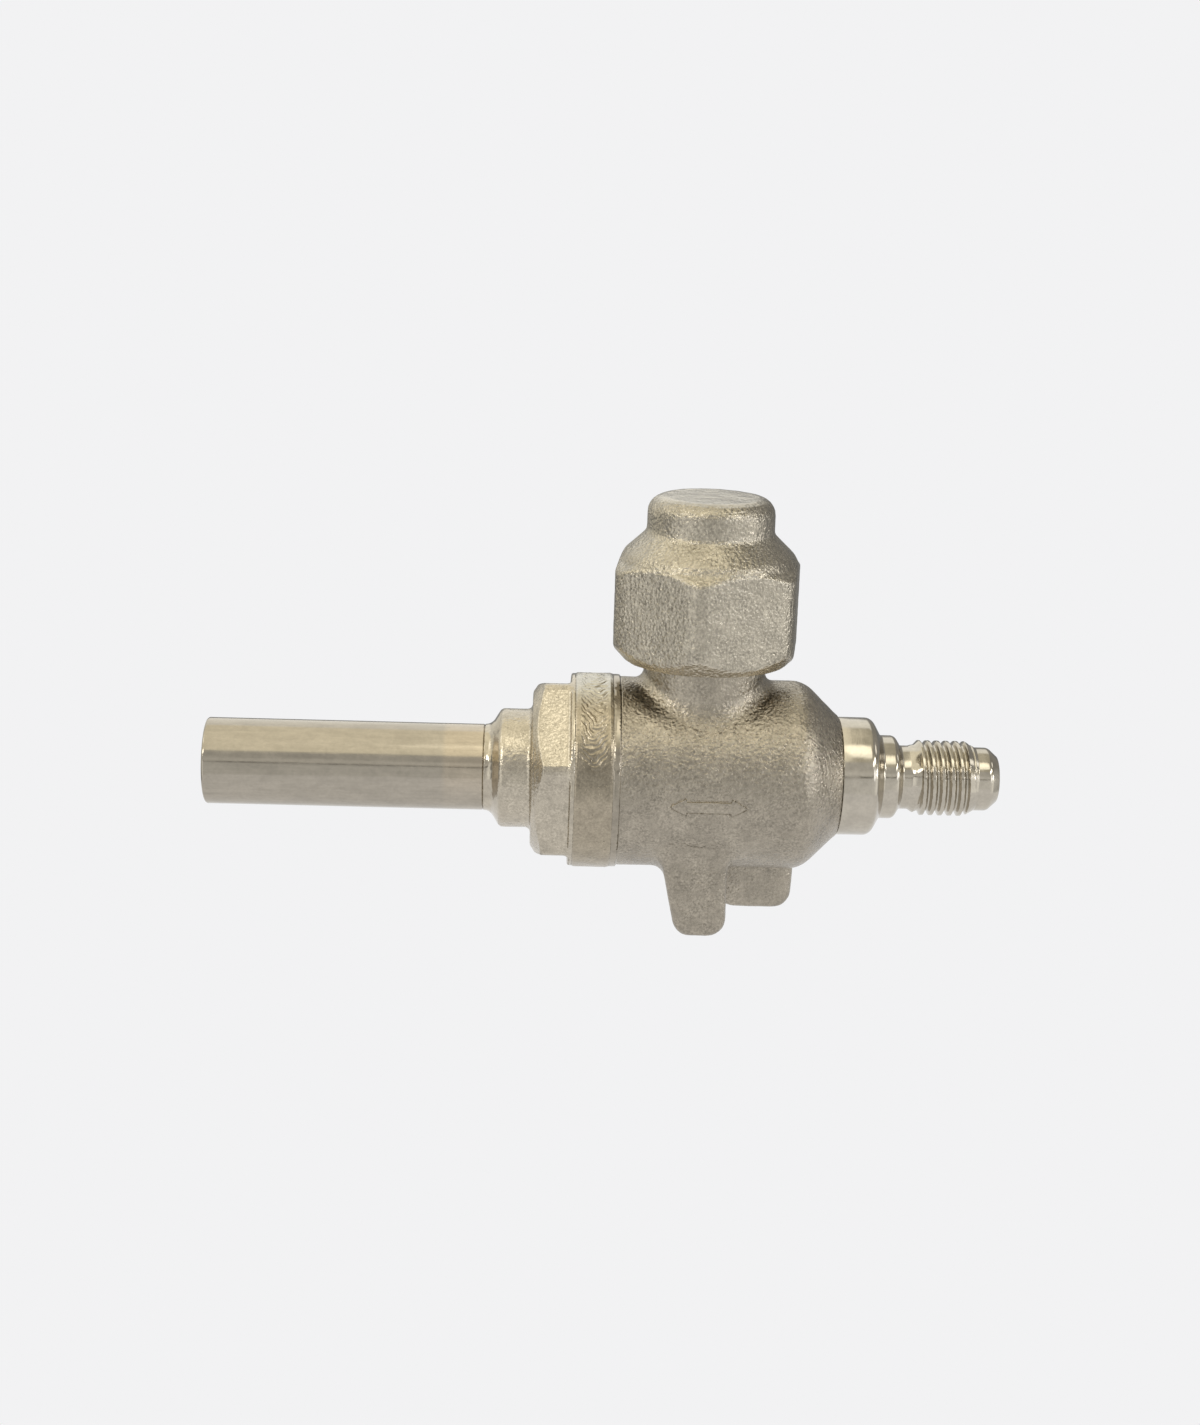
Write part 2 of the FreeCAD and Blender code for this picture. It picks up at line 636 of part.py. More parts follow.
turn(body, "adapter_bore", [
    (D["tube_joint"] - 1.0, 0.0),
    (D["tube_joint"] - 1.0, D["tube_rad"] - D["tube_wall"]),
    (D["hex_left"], D["tube_rad"] - D["tube_wall"]),
    (D["hex_left"] + 1.0, D["port_way"]),
    (1.0 - D["cavity_half"], D["port_way"]),
    (1.0 - D["cavity_half"], 0.0),
], "X", cut=True)
settle(body)

# ------------------------------------------------------------------ closing weld
# Bead that fills the V groove between body and adapter all the way round.
body = new_body("closing_weld")
turn(body, "bead", [
    (D["butt_x"], D["groove_root"]),
    (D["groove_right"], D["lip_rad"]),
    (D["groove_right"] - D["weld_edge"], D["weld_rad"]),
    (D["groove_left"] + D["weld_edge"], D["weld_rad"]),
    (D["groove_left"], D["adapter_flange"]),
], "X")
settle(body)

# ------------------------------------------------------------------ tube stub
body = new_body("tube_stub")
turn(body, "tube", [
    (D["tube_end"], D["tube_rad"] - D["tube_wall"]),
    (D["tube_end"], D["tube_rad"] - D["tube_break"]),
    (D["tube_end"] + 0.12, D["tube_rad"] - 0.2),
    (D["tube_end"] + D["tube_break"], D["tube_rad"]),
    (D["tube_joint"] - D["seam_break"], D["tube_rad"]),
    (D["tube_joint"], D["tube_rad"] - D["seam_break"]),
    (D["tube_joint"], D["tube_rad"] - D["tube_wall"]),
], "X")
settle(body)

# ------------------------------------------------------------------ service port
# Turned stub in the right end of the body, with its male thread left at the major radius.
body = new_body("service_port")
port = turn(body, "port_turned", [
    (D["port_inner"], D["port_hole"]),
    (D["port_inner"], D["port_spigot"]),
    (D["cone_end"], D["port_spigot"]),
    (D["cone_end"], D["ring_rad"]),
    (D["ring_end"], D["ring_rad"]),
    (D["small_start"], D["small_rad"]),
    (D["small_end"], D["small_rad"]),
    (D["waist_start"], D["waist_rad"]),
    (D["waist_end"], D["waist_rad"]),
    (D["thread_start"], D["thread_rad"]),
    (D["thread_end"], D["thread_rad"]),
    (D["nose_start"], D["port_nose"]),
    (D["nose_chamfer"], D["port_nose"]),
    (D["port_end"], D["face_rad"]),
    (D["port_end"], D["port_hole"] + D["port_mouth"]),
    (D["port_end"] - D["port_mouth"], D["port_hole"]),
], "X")
base = rounding(body, "ring_edge", port, rims(port, "X", D["ring_end"], D["ring_rad"]), D["ring_round"])
base = rounding(body, "small_edge", base, rims(base, "X", D["small_end"], D["small_rad"]), D["small_round"])
base = rounding(body, "nose_edge", base, rims(base, "X", D["nose_chamfer"], D["port_nose"]), 1.2)
settle(body)

# ------------------------------------------------------------------ ball
sphere = primitive("Part::Sphere", "ball_blank", Radius=D["ball_rad"])
bore = primitive("Part::Cylinder", "ball_bore", Radius=D["port_way"], Height=D["ball_rad"] * 2 + 2.0)
bore.Placement = Placement(Vector(-float(D["ball_rad"]) - 1.0, 0, 0), Rotation(Vector(0, 1, 0), 90))
bore.setExpression("Placement.Base.x", (-1 * D["ball_rad"] - 1.0).text)
slot = primitive("Part::Box", "ball_slot", Length=D["slot_wide"], Width=D["ball_rad"] * 2 + 2.0, Height=D["ball_rad"])
slot.setExpression("Placement.Base.x", (-1 * D["slot_wide"] / 2).text)
slot.setExpression("Placement.Base.y", (-1 * D["ball_rad"] - 1.0).text)
slot.setExpression("Placement.Base.z", D["slot_floor"].text)
ball = finished(boolean("Part::Cut", "ball_cut", boolean("Part::Cut", "ball_bored", sphere, bore), slot), "ball")
settle(ball)

# ------------------------------------------------------------------ seats, one each side of the ball
for side_name, sign in (("left", -1), ("right", 1)):
    body = new_body("seat_" + side_name)
    turn(body, "ring_" + side_name, [
        (sign * D["seat_front"], D["seat_hole"]),
        (sign * D["seat_front"], D["seat_rad"]),
        (sign * D["seat_step_x"], D["seat_rad"]),
        (sign * D["seat_step_x"], D["seat_step"]),
        (sign * D["cavity_half"], D["seat_step"]),
        (sign * D["cavity_half"], D["seat_hole"]),
    ], "X")
    # Spherical face that the ball bears on: half a disc turned about the flow axis.
    before = body.Shape.Volume
    bowl = new_sketch(body, "bowl_%s_profile" % side_name, "XZ_Plane")
    reach = D["ball_rad"] + D["seat_gap"]
    bowl.addGeometry(Part.ArcOfCircle(Part.Circle(Vector(0, 0, 0), Vector(0, 0, 1), float(reach)), 0, math.pi), False)
    bowl.addGeometry(Part.LineSegment(Vector(-float(reach), 0, 0), Vector(float(reach), 0, 0)), False)
    bowl.addConstraint(Sketcher.Constraint("Coincident", 0, 3, -1, 1))
    bowl.addConstraint(Sketcher.Constraint("Coincident", 0, 2, 1, 1))
    bowl.addConstraint(Sketcher.Constraint("Coincident", 0, 1, 1, 2))
    bowl.addConstraint(Sketcher.Constraint("PointOnObject", 0, 1, -1))
    index = bowl.addConstraint(Sketcher.Constraint("Radius", 0, float(reach)))
    bowl.setExpression("Constraints[%d]" % index, reach.text)
    cut = body.newObject("PartDesign::Groove", "bowl_" + side_name)
    cut.Profile = bowl
    cut.ReferenceAxis = (bowl, ["H_Axis"])
    cut.Angle = 360.0
    doc.recompute()
    if not cut.Shape.Volume < before - 0.05:
        raise RuntimeError("the seat's bowl cuts nothing")
    settle(body)

    ring = primitive("Part::Torus", "seat_ring_" + side_name, Radius1=D["seat_ring_mid"], Radius2=D["seat_ring_rad"])
    ring.Placement = Placement(Vector(0, 0, 0), Rotation(Vector(0, 1, 0), 90))
    finished(ring, "seat_oring_" + side_name)
    place = D["stem_off"] + sign * (D["cavity_half"] - D["seat_ring_rad"])
    ring.setExpression("Placement.Base.x", place.text)
    ring.setExpression("Placement.Base.z", "dims.axis_up")

# ------------------------------------------------------------------ stem
# Turned, with the blow-out flange inside, two O-ring grooves, the tang for the ball's slot
# and the square for the operating key.
body = new_body("stem")
turn(body, "stem_turned", [
    (0.0, D["stem_flange_low"]),
    (D["stem_flange"], D["stem_flange_low"]),
    (D["stem_flange"], D["stem_flange_top"]),
    (D["stem_rad"], D["stem_flange_top"]),
    (D["stem_rad"], D["groove_a"]),
    (D["groove_rad"], D["groove_a"]),
    (D["groove_rad"], D["groove_a"] + D["groove_wide"]),
    (D["stem_rad"], D["groove_a"] + D["groove_wide"]),
    (D["stem_rad"], D["groove_b"]),
    (D["groove_rad"], D["groove_b"]),
    (D["groove_rad"], D["groove_b"] + D["groove_wide"]),
    (D["stem_rad"], D["groove_b"] + D["groove_wide"]),
    (D["stem_rad"], D["square_low"]),
    (0.0, D["square_low"]),
], "Z")
tx, ty = D["tang_thick"] / 2, D["tang_wide"] / 2
tang = outline(body, "tang_shape", "XY_Plane", [(-tx, -ty), (tx, -ty), (tx, ty), (-tx, ty)], lift=D["tang_low"])
pad(body, "tang", tang, D["stem_flange_low"] - D["tang_low"])
sq = D["square_across"] / 2
square = outline(body, "square_shape", "XY_Plane", [(-sq, -sq), (sq, -sq), (sq, sq), (-sq, sq)], lift=D["square_low"])
pad(body, "square", square, D["stem_top"] - D["square_low"])
turn(body, "clip_groove", [
    (D["clip_groove_rad"], D["clip_low"]),
    (D["clip_groove_rad"] + 2.0, D["clip_low"]),
    (D["clip_groove_rad"] + 2.0, D["clip_low"] + D["clip_thick"]),
    (D["clip_groove_rad"], D["clip_low"] + D["clip_thick"]),
], "Z", cut=True)
turn(body, "stem_point", [
    (sq - 0.3, D["stem_top"] + 0.5),
    (sq - 0.3, D["stem_top"]),
    (sq + 1.7, D["stem_top"] - 2.0),
    (sq + 1.7, D["stem_top"] + 0.5),
], "Z", cut=True)
half = D["driver_wide"] / 2
slot = outline(body, "driver_slot_shape", "XY_Plane", [(-sq - 1.0, -half), (sq + 1.0, -half), (sq + 1.0, half), (-sq - 1.0, half)], lift=D["stem_top"])
pocket(body, "driver_slot", slot, D["driver_deep"])
settle(body)

for name, low_z in (("stem_oring_lower", D["groove_a"]), ("stem_oring_upper", D["groove_b"])):
    ring = primitive("Part::Torus", name + "_ring", Radius1=D["stem_ring_mid"], Radius2=D["stem_ring_rad"])
    finished(ring, name)
    ring.setExpression("Placement.Base.x", "dims.stem_off")
    ring.setExpression("Placement.Base.z", (D["axis_up"] + low_z + D["groove_wide"] / 2).text)


# ------------------------------------------------------------------ washers and rings round the stem
def flat_ring(label, low_z, top_z, inner, outer, extra=()):
    """A plain ring about the stem axis, drawn as its section."""
    made = new_body(label)
    turn(made, label + "_section", [(inner, low_z), (outer, low_z), (outer, top_z), (inner, top_z)], "Z")
    return made


settle(flat_ring("thrust_washer", D["washer_low"], D["flange_bore_top"], D["stem_rad"] + 0.1, D["flange_bore"] - 0.1))
settle(flat_ring("packing_ring", D["gland_floor"], D["packing_top"], D["stem_rad"] + 0.05, D["packing_rad"]))
settle(flat_ring("cap_seal", D["bonnet_top"], D["bonnet_top"] + D["seal_thick"], D["seal_in"], D["seal_out"]))

gland = flat_ring("gland_nut", D["packing_top"], D["gland_top"], D["gland_hole"], D["gland_rad"])
gs = D["gland_slot_wide"] / 2
key = outline(gland, "spanner_slot_shape", "XY_Plane", [
    (-D["gland_rad"] - 1.0, -gs), (D["gland_rad"] + 1.0, -gs), (D["gland_rad"] + 1.0, gs), (-D["gland_rad"] - 1.0, gs)], lift=D["gland_top"])
pocket(gland, "spanner_slot", key, D["gland_slot_deep"])
settle(gland)

# ------------------------------------------------------------------ quarter-turn stop
pin = primitive("Part::Cylinder", "pin_rod", Radius=D["pin_rad"], Height=D["pin_top"] - D["pin_low"])
finished(pin, "stop_pin")
pin.setExpression("Placement.Base.x", (D["stem_off"] + pin_x).text)
pin.setExpression("Placement.Base.y", pin_y.text)
pin.setExpression("Placement.Base.z", (D["axis_up"] + D["pin_low"]).text)

# The plate is a full disc out to its core radius and a part disc out to its rim. The gap
# between the rim's ends is a quarter turn plus what the pin takes up.
opening = 90.0 + 2.0 * D["stop_slack"]
core = primitive("Part::Cylinder", "plate_core_disc", Radius=D["plate_core"], Height=D["plate_thick"])
core.setExpression("Placement.Base.z", D["plate_low"].text)
wing = primitive("Part::Cylinder", "plate_rim_disc", Radius=D["plate_rad"], Height=D["plate_thick"], Angle=360.0 - opening)
wing.Placement = Placement(Vector(0, 0, float(D["plate_low"])), Rotation(Vector(0, 0, 1), float(opening) / 2))
wing.setExpression("Placement.Base.z", D["plate_low"].text)
wing.setExpression("Placement.Rotation.Angle", (opening / 2).text)
hole_side = D["square_across"] + 2.0 * D["plate_fit"]
hole = primitive("Part::Box", "plate_square", Length=hole_side, Width=hole_side, Height=D["plate_thick"] + 2.0)
hole.setExpression("Placement.Base.x", (-1 * hole_side / 2).text)
hole.setExpression("Placement.Base.y", (-1 * hole_side / 2).text)
hole.setExpression("Placement.Base.z", (D["plate_low"] - 1.0).text)
plate = boolean("Part::Cut", "plate_cut", boolean("Part::Fuse", "plate_blank", core, wing), hole)
settle(finished(plate, "stop_plate"))

clip_out = primitive("Part::Cylinder", "clip_disc", Radius=D["clip_rad"], Height=D["clip_thick"] - 0.04, Angle=315.0)
clip_out.setExpression("Placement.Base.z", (D["clip_low"] + 0.02).text)
clip_in = primitive("Part::Cylinder", "clip_hole", Radius=D["clip_groove_rad"] + 0.05, Height=D["clip_thick"] + 2.0)
clip_in.setExpression("Placement.Base.z", (D["clip_low"] - 1.0).text)
settle(finished(boolean("Part::Cut", "clip_cut", clip_out, clip_in), "retaining_ring"))

# ------------------------------------------------------------------ seal cap
# Cast hexagon cap with a round crown, threaded on to the bonnet.
body = new_body("cap")
block = outline(body, "cap_hexagon_shape", "XY_Plane", hexagon(D["cap_across"], D["cap_turn"]), lift=D["cap_low"])
block = pad(body, "cap_hexagon", block, D["cap_top"] - D["cap_low"])
base = rounding(body, "cap_corners", block, straight(
    block, lambda a, b: abs(a.x - b.x) < 0.01 and abs(a.y - b.y) < 0.01), D["cap_corner"])
shoulder = turn(body, "cap_shoulder", [
    (D["crown_rad"], D["cap_top"] + 1.0),
    (D["crown_rad"], D["crown_low"]),
    (D["shoulder_rad"], D["shoulder_z"]),
    (D["brow_rad"], D["brow_z"]),
    (D["brow_rad"] + 2.6, D["brow_z"] - 2.0),
    (D["brow_rad"] + 4.0, D["brow_z"] - 2.0),
    (D["brow_rad"] + 4.0, D["cap_top"] + 1.0),
], "Z", cut=True)
base = rounding(body, "crown_edge", shoulder, rims(shoulder, "Z", D["cap_top"], D["crown_rad"]), D["crown_round"])
base = rounding(body, "crown_root", base, rims(base, "Z", D["crown_low"], D["crown_rad"]), D["crown_fillet"])
base = rounding(body, "shoulder_turn", base, rims(base, "Z", D["shoulder_z"], D["shoulder_rad"]), 2.0)
turn(body, "cap_skirt", [
    (D["skirt_rad"], D["cap_low"] - 1.0),
    (D["skirt_rad"], D["cap_low"]),
    (D["skirt_out"], D["skirt_z"]),
    (D["skirt_out"] + 2.0, D["skirt_z"]),
    (D["skirt_out"] + 2.0, D["cap_low"] - 1.0),
], "Z", cut=True)
turn(body, "cap_hollow", [
    (0.0, D["cap_low"] - 1.0),
    (D["cap_mouth"], D["cap_low"] - 1.0),
    (D["cap_mouth"], D["cap_mouth_top"]),
    (D["cap_thread"], D["cap_mouth_top"] + 0.65),
    (D["cap_thread"], D["cap_seat"]),
    (D["cap_room"], D["cap_seat"]),
    (D["cap_room"], D["cap_room_top"]),
    (D["crown_room"], D["cap_room_top"] + 1.5),
    (D["crown_room"], D["crown_roof"] - 1.0),
    (D["crown_room"] - 1.0, D["crown_roof"]),
    (0.0, D["crown_roof"]),
], "Z", cut=True)
settle(body)

# ------------------------------------------------------------------ check and write
doc.recompute()
faults = [o.Name for o in doc.Objects if "Invalid" in o.State or "Error" in o.State]
if faults:
    raise RuntimeError("failed objects: %s" % faults)
os.makedirs("parts", exist_ok=True)
labels = [part.Label for part in SUBPARTS]
if len(set(labels)) != len(labels):
    raise RuntimeError("two sub-parts share a label")
for part in SUBPARTS:
    shape = part.Shape
    if shape.isNull() or not shape.isValid() or shape.Volume <= 0:
        raise RuntimeError(part.Label + " has no valid solid")
    box = shape.BoundBox
    print("%-18s solids %d volume %9.1f  X %7.2f %7.2f  Y %7.2f %7.2f  Z %7.2f %7.2f" % (
        part.Label, len(shape.Solids), shape.Volume, box.XMin, box.XMax, box.YMin, box.YMax, box.ZMin, box.ZMax))
for part in SUBPARTS:
    part.Shape.exportStep(os.path.join("parts", part.Label + ".step"))
print(len(SUBPARTS), "sub-parts written")
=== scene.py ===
import math

import bmesh
import bpy
import numpy as np
from mathutils import Matrix, Vector


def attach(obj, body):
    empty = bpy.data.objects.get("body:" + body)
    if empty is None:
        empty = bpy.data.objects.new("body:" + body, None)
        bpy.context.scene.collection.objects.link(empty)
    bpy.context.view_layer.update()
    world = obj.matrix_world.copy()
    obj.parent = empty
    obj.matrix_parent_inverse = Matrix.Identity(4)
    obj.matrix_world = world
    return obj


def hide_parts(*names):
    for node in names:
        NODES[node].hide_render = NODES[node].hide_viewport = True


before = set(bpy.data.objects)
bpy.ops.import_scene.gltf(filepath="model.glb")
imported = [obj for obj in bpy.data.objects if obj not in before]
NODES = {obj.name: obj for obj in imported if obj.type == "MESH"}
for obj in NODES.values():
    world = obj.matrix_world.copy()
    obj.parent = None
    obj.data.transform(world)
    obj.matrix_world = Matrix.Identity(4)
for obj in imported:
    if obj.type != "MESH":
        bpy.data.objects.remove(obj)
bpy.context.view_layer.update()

scene = bpy.context.scene

# All shapes below are drawn in millimetres in the valve's construction frame, whose X axis is
# the flow axis and whose Z axis is the stem axis, and are moved to the row frame at the end.
SHIFT = np.array([-5.6, 0.0, 24.0])


# ------------------------------------------------------------------ camera
def camera():
    e, turn_, roll = math.radians(15.0), math.radians(1.7), math.radians(1.9)
    ahead = Vector((math.sin(turn_) * math.cos(e), math.cos(turn_) * math.cos(e), -math.sin(e)))
    right0 = Vector((math.cos(turn_), -math.sin(turn_), 0))
    up0 = right0.cross(ahead)
    right = right0 * math.cos(roll) + up0 * math.sin(roll)
    up = up0 * math.cos(roll) - right0 * math.sin(roll)
    target = Vector((-0.02183, 0.0, 0.03343))
    data = bpy.data.cameras.new("camera")
    data.lens, data.sensor_width = 53.63, 36.0
    data.clip_start, data.clip_end = 0.01, 20.0
    cam = bpy.data.objects.new("camera", data)
    scene.collection.objects.link(cam)
    turn = Matrix((right, up, -ahead)).transposed()
    cam.matrix_world = Matrix.Translation(target - ahead * 0.33616) @ turn.to_4x4()
    scene.camera = cam


camera()


# ------------------------------------------------------------------ distance functions
def rounded(points, steps=6):
    """A polygon from (a, b) corners, or (a, b, r) corners that are rounded to radius r."""
    out = []
    n = len(points)
    for i in range(n):
        p = np.array(points[i][:2], float)
        if len(points[i]) < 3:
            out.append(tuple(p))
            continue
        r = points[i][2]
        a = np.array(points[i - 1][:2], float) - p
        b = np.array(points[(i + 1) % n][:2], float) - p
        a, b = a / np.linalg.norm(a), b / np.linalg.norm(b)
        half = math.acos(max(-1.0, min(1.0, float(a @ b)))) / 2
        mid = (a + b) / np.linalg.norm(a + b)
        centre = p + mid * r / math.sin(half)
        start, end = p + a * r / math.tan(half) - centre, p + b * r / math.tan(half) - centre
        sweep = math.atan2(start[0] * end[1] - start[1] * end[0], float(start @ end))
        for k in range(steps + 1):
            t = sweep * k / steps
            out.append(tuple(centre + (start[0] * math.cos(t) - start[1] * math.sin(t), start[0] * math.sin(t) + start[1] * math.cos(t))))
    return out


def poly(a, b, points):
    """Signed distance from points (a, b) to a closed polygon, negative inside."""
    near = np.full(a.shape, 1e12)
    inside = np.zeros(a.shape, bool)
    for i in range(len(points)):
        (x0, y0), (x1, y1) = points[i - 1], points[i]
        ex, ey = x1 - x0, y1 - y0
        wx, wy = a - x0, b - y0
        t = np.clip((wx * ex + wy * ey) / (ex * ex + ey * ey), 0, 1)
        near = np.minimum(near, (wx - ex * t) ** 2 + (wy - ey * t) ** 2)
        if ey:
            inside ^= ((y0 > b) != (y1 > b)) & (a < x0 + (b - y0) * ex / ey)
    return np.where(inside, -1.0, 1.0) * np.sqrt(near)


def union(a, b, r):
    """Both shapes, with a fillet of radius r where they meet."""
    return np.maximum(r, np.minimum(a, b)) - np.hypot(np.maximum(r - a, 0), np.maximum(r - b, 0))


def common(a, b, r):
    """What both shapes hold, with edges rounded to radius r."""
    return np.minimum(-r, np.maximum(a, b)) + np.hypot(np.maximum(r + a, 0), np.maximum(r + b, 0))


def waves(seed, longest, shortest, count=14):
    """A smooth field from 0 to 1 that wanders over lengths between the two given."""
    rng = np.random.default_rng(seed)
    way = rng.normal(size=(count, 3))
    way /= np.linalg.norm(way, axis=1)[:, None]
    length = np.exp(rng.uniform(math.log(shortest), math.log(longest), count))
    phase = rng.uniform(0, 2 * math.pi, count)
    gain = length ** 0.5
    gain /= gain.sum()

    def field(p):
        out = np.zeros(len(p))
        for w, l, ph, g in zip(way, length, phase, gain):
            out += g * np.sin(p @ (w * 2 * math.pi / l) + ph)
        return np.clip(0.5 + 0.9 * out, 0, 1)
    return field


def ramp(x, a, b):
    t = np.clip((x - a) / (b - a), 0, 1)
    return t * t * (3 - 2 * t)


def thread(along, turn, crest, pitch=1.5, depth=0.92):
    """Radius of an outside 60 degree thread at a place along its axis and a turn round it."""
    at = np.abs((along - pitch * turn / (2 * math.pi)) % pitch - pitch / 2)
    flank = depth * math.tan(math.radians(30))
    return crest - depth + np.clip((at - (pitch / 2 - flank - 0.094)) / math.tan(math.radians(30)), 0, depth)


def hexagon(across, corner, turn):
    """Corners of a hexagon with rounded corners, the first at an angle in degrees."""
    reach = across / 2 / math.cos(math.pi / 6)
    return rounded([(reach * math.cos(math.radians(turn + 60 * i)), reach * math.sin(math.radians(turn + 60 * i)), corner) for i in range(6)], 5)


# ------------------------------------------------------------------ meshes from distance functions
def net(f, low, high, h):
    """A closed mesh of quads round the zero surface of f."""
    block = 8
    counts = [int(math.ceil((high[i] - low[i]) / h / block)) for i in range(3)]
    n = [c * block for c in counts]
    reach = h * block * math.sqrt(3) / 2 + h
    mids = np.stack(np.meshgrid(*[low[i] + h * (block * (np.arange(counts[i]) + 0.5) - 0.5) for i in range(3)], indexing="ij"), -1).reshape(-1, 3)
    far = f(mids)
    field = np.repeat(np.repeat(np.repeat(np.sign(far).reshape(counts), block, 0), block, 1), block, 2).astype(np.float32)
    near = np.abs(far) < reach * 1.2
    starts = np.stack(np.meshgrid(*[np.arange(c) * block for c in counts], indexing="ij"), -1).reshape(-1, 3)[near]
    steps = np.stack(np.meshgrid(*[np.arange(block)] * 3, indexing="ij"), -1).reshape(-1, 3)
    for part in np.array_split(starts, max(1, len(starts) // 400)):
        if not len(part):
            continue
        at = (part[:, None, :] + steps[None]).reshape(-1, 3)
        field[at[:, 0], at[:, 1], at[:, 2]] = f(np.array(low) + h * at)
    inside = field < 0
    cells = tuple(c - 1 for c in n)
    total = [np.zeros(cells, np.float32) for _ in range(3)]
    count = np.zeros(cells, np.float32)
    edges = []
    for axis in range(3):
        a = [slice(None)] * 3
        b = [slice(None)] * 3
        a[axis], b[axis] = slice(0, -1), slice(1, None)
        f0, f1 = field[tuple(a)], field[tuple(b)]
        cross = inside[tuple(a)] != inside[tuple(b)]
        t = np.where(cross, f0 / np.where(cross, f0 - f1, 1), 0).astype(np.float32)
        c = cross.astype(np.float32)
        u, v = (axis + 1) % 3, (axis + 2) % 3
        for du in (0, 1):
            for dv in (0, 1):
                s = [None] * 3
                s[axis] = slice(None)
                s[u] = slice(du, du + cells[u])
                s[v] = slice(dv, dv + cells[v])
                s = tuple(s)
                total[axis] += t[s]
                total[u] += du * c[s]
                total[v] += dv * c[s]
                count += c[s]
        edges.append((cross, inside[tuple(a)]))
    live = count > 0
    index = np.full(cells, -1, np.int64)
    index[live] = np.arange(int(live.sum()))
    where = np.argwhere(live)
    points = np.array(low) + h * (where + np.stack([total[i][live] / count[live] for i in range(3)], -1))
    quads = []
    for axis in range(3):
        u, v = (axis + 1) % 3, (axis + 2) % 3
        cross, start_in = edges[axis]
        at = np.argwhere(cross)
        at = at[(at[:, u] > 0) & (at[:, v] > 0) & (at[:, u] < cells[u]) & (at[:, v] < cells[v])]
        ring = []
        for du, dv in ((-1, -1), (0, -1), (0, 0), (-1, 0)):
            c = at.copy()
            c[:, u] += du
            c[:, v] += dv
            ring.append(index[c[:, 0], c[:, 1], c[:, 2]])
        q = np.stack(ring, -1)
        out = start_in[at[:, 0], at[:, 1], at[:, 2]]
        quads.append(np.where(out[:, None], q, q[:, ::-1]))
    return points, np.concatenate(quads)


def slope(f, p, e=0.004):
    g = np.empty_like(p)
    for i in range(3):
        d = np.zeros(3)
        d[i] = e
        g[:, i] = (f(p + d) - f(p - d)) / (2 * e)
    return g


def settle_on(f, p, steps, reach):
    """Moves points on to the zero surface of f."""
    for _ in range(steps):
        g = slope(f, p)
        move = (f(p) / np.maximum((g * g).sum(1), 0.08))[:, None] * g
        size = np.linalg.norm(move, axis=1)
        move *= np.minimum(1, reach / np.maximum(size, 1e-9))[:, None]
        p = p - move
    return p


def link(mesh, name):
    obj = bpy.data.objects.new(name, mesh)
    scene.collection.objects.link(obj)
    return obj


def set_points(mesh, p):
    mesh.vertices.foreach_set("co", ((p + SHIFT) * 0.001).astype(np.float32).ravel())
    mesh.update()


def get_points(mesh):
    co = np.zeros(len(mesh.vertices) * 3, np.float32)
    mesh.vertices.foreach_get("co", co)
    return co.reshape(-1, 3).astype(float) * 1000 - SHIFT


def carved(name, f, low, high, h, finer=(), marks=None):
    """A piece whose skin is the zero surface of f, with finer quads where asked."""
    points, quads = net(f, low, high, h)
    points = settle_on(f, points, 3, h * 0.5)
    mesh = bpy.data.meshes.new(name)
    mesh.from_pydata(((points + SHIFT) * 0.001).tolist(), [], quads.tolist())
    for test in finer:
        p = get_points(mesh)
        hit = test(p)
        bm = bmesh.new()
        bm.from_mesh(mesh)
        bm.verts.ensure_lookup_table()
        faces = [face for face in bm.faces if all(hit[v.index] for v in face.verts)]
        lines = {edge for face in faces for edge in face.edges}
        bmesh.ops.subdivide_edges(bm, edges=list(lines), cuts=1, use_grid_fill=True)
        bm.to_mesh(mesh)
        bm.free()
        p = get_points(mesh)
        set_points(mesh, settle_on(f, p, 2, h * 0.25))
    p = get_points(mesh)
    g = slope(f, p)
    g /= np.maximum(np.linalg.norm(g, axis=1), 1e-9)[:, None]
    for poly_ in (mesh.polygons,):
        poly_.foreach_set("use_smooth", np.ones(len(poly_), bool))
    mesh.normals_split_custom_set_from_vertices(g.tolist())
    for label, values in (marks(p, g) if marks else {}).items():
        attribute = mesh.attributes.new(label, "FLOAT", "POINT")
        attribute.data.foreach_set("value", values.astype(np.float32))
    mesh.update()
    return link(mesh, name)


# ------------------------------------------------------------------ lathe meshes
def spaced(profile, longest):
    """The closed profile's points, with more put in where two lie further apart than longest."""
    out = []
    n = len(profile)
    for i in range(n):
        a, b = np.array(profile[i], float), np.array(profile[(i + 1) % n], float)
        k = max(1, int(math.ceil(np.linalg.norm(b - a) / longest)))
        out += [tuple(a + (b - a) * j / k) for j in range(k)]
    return out


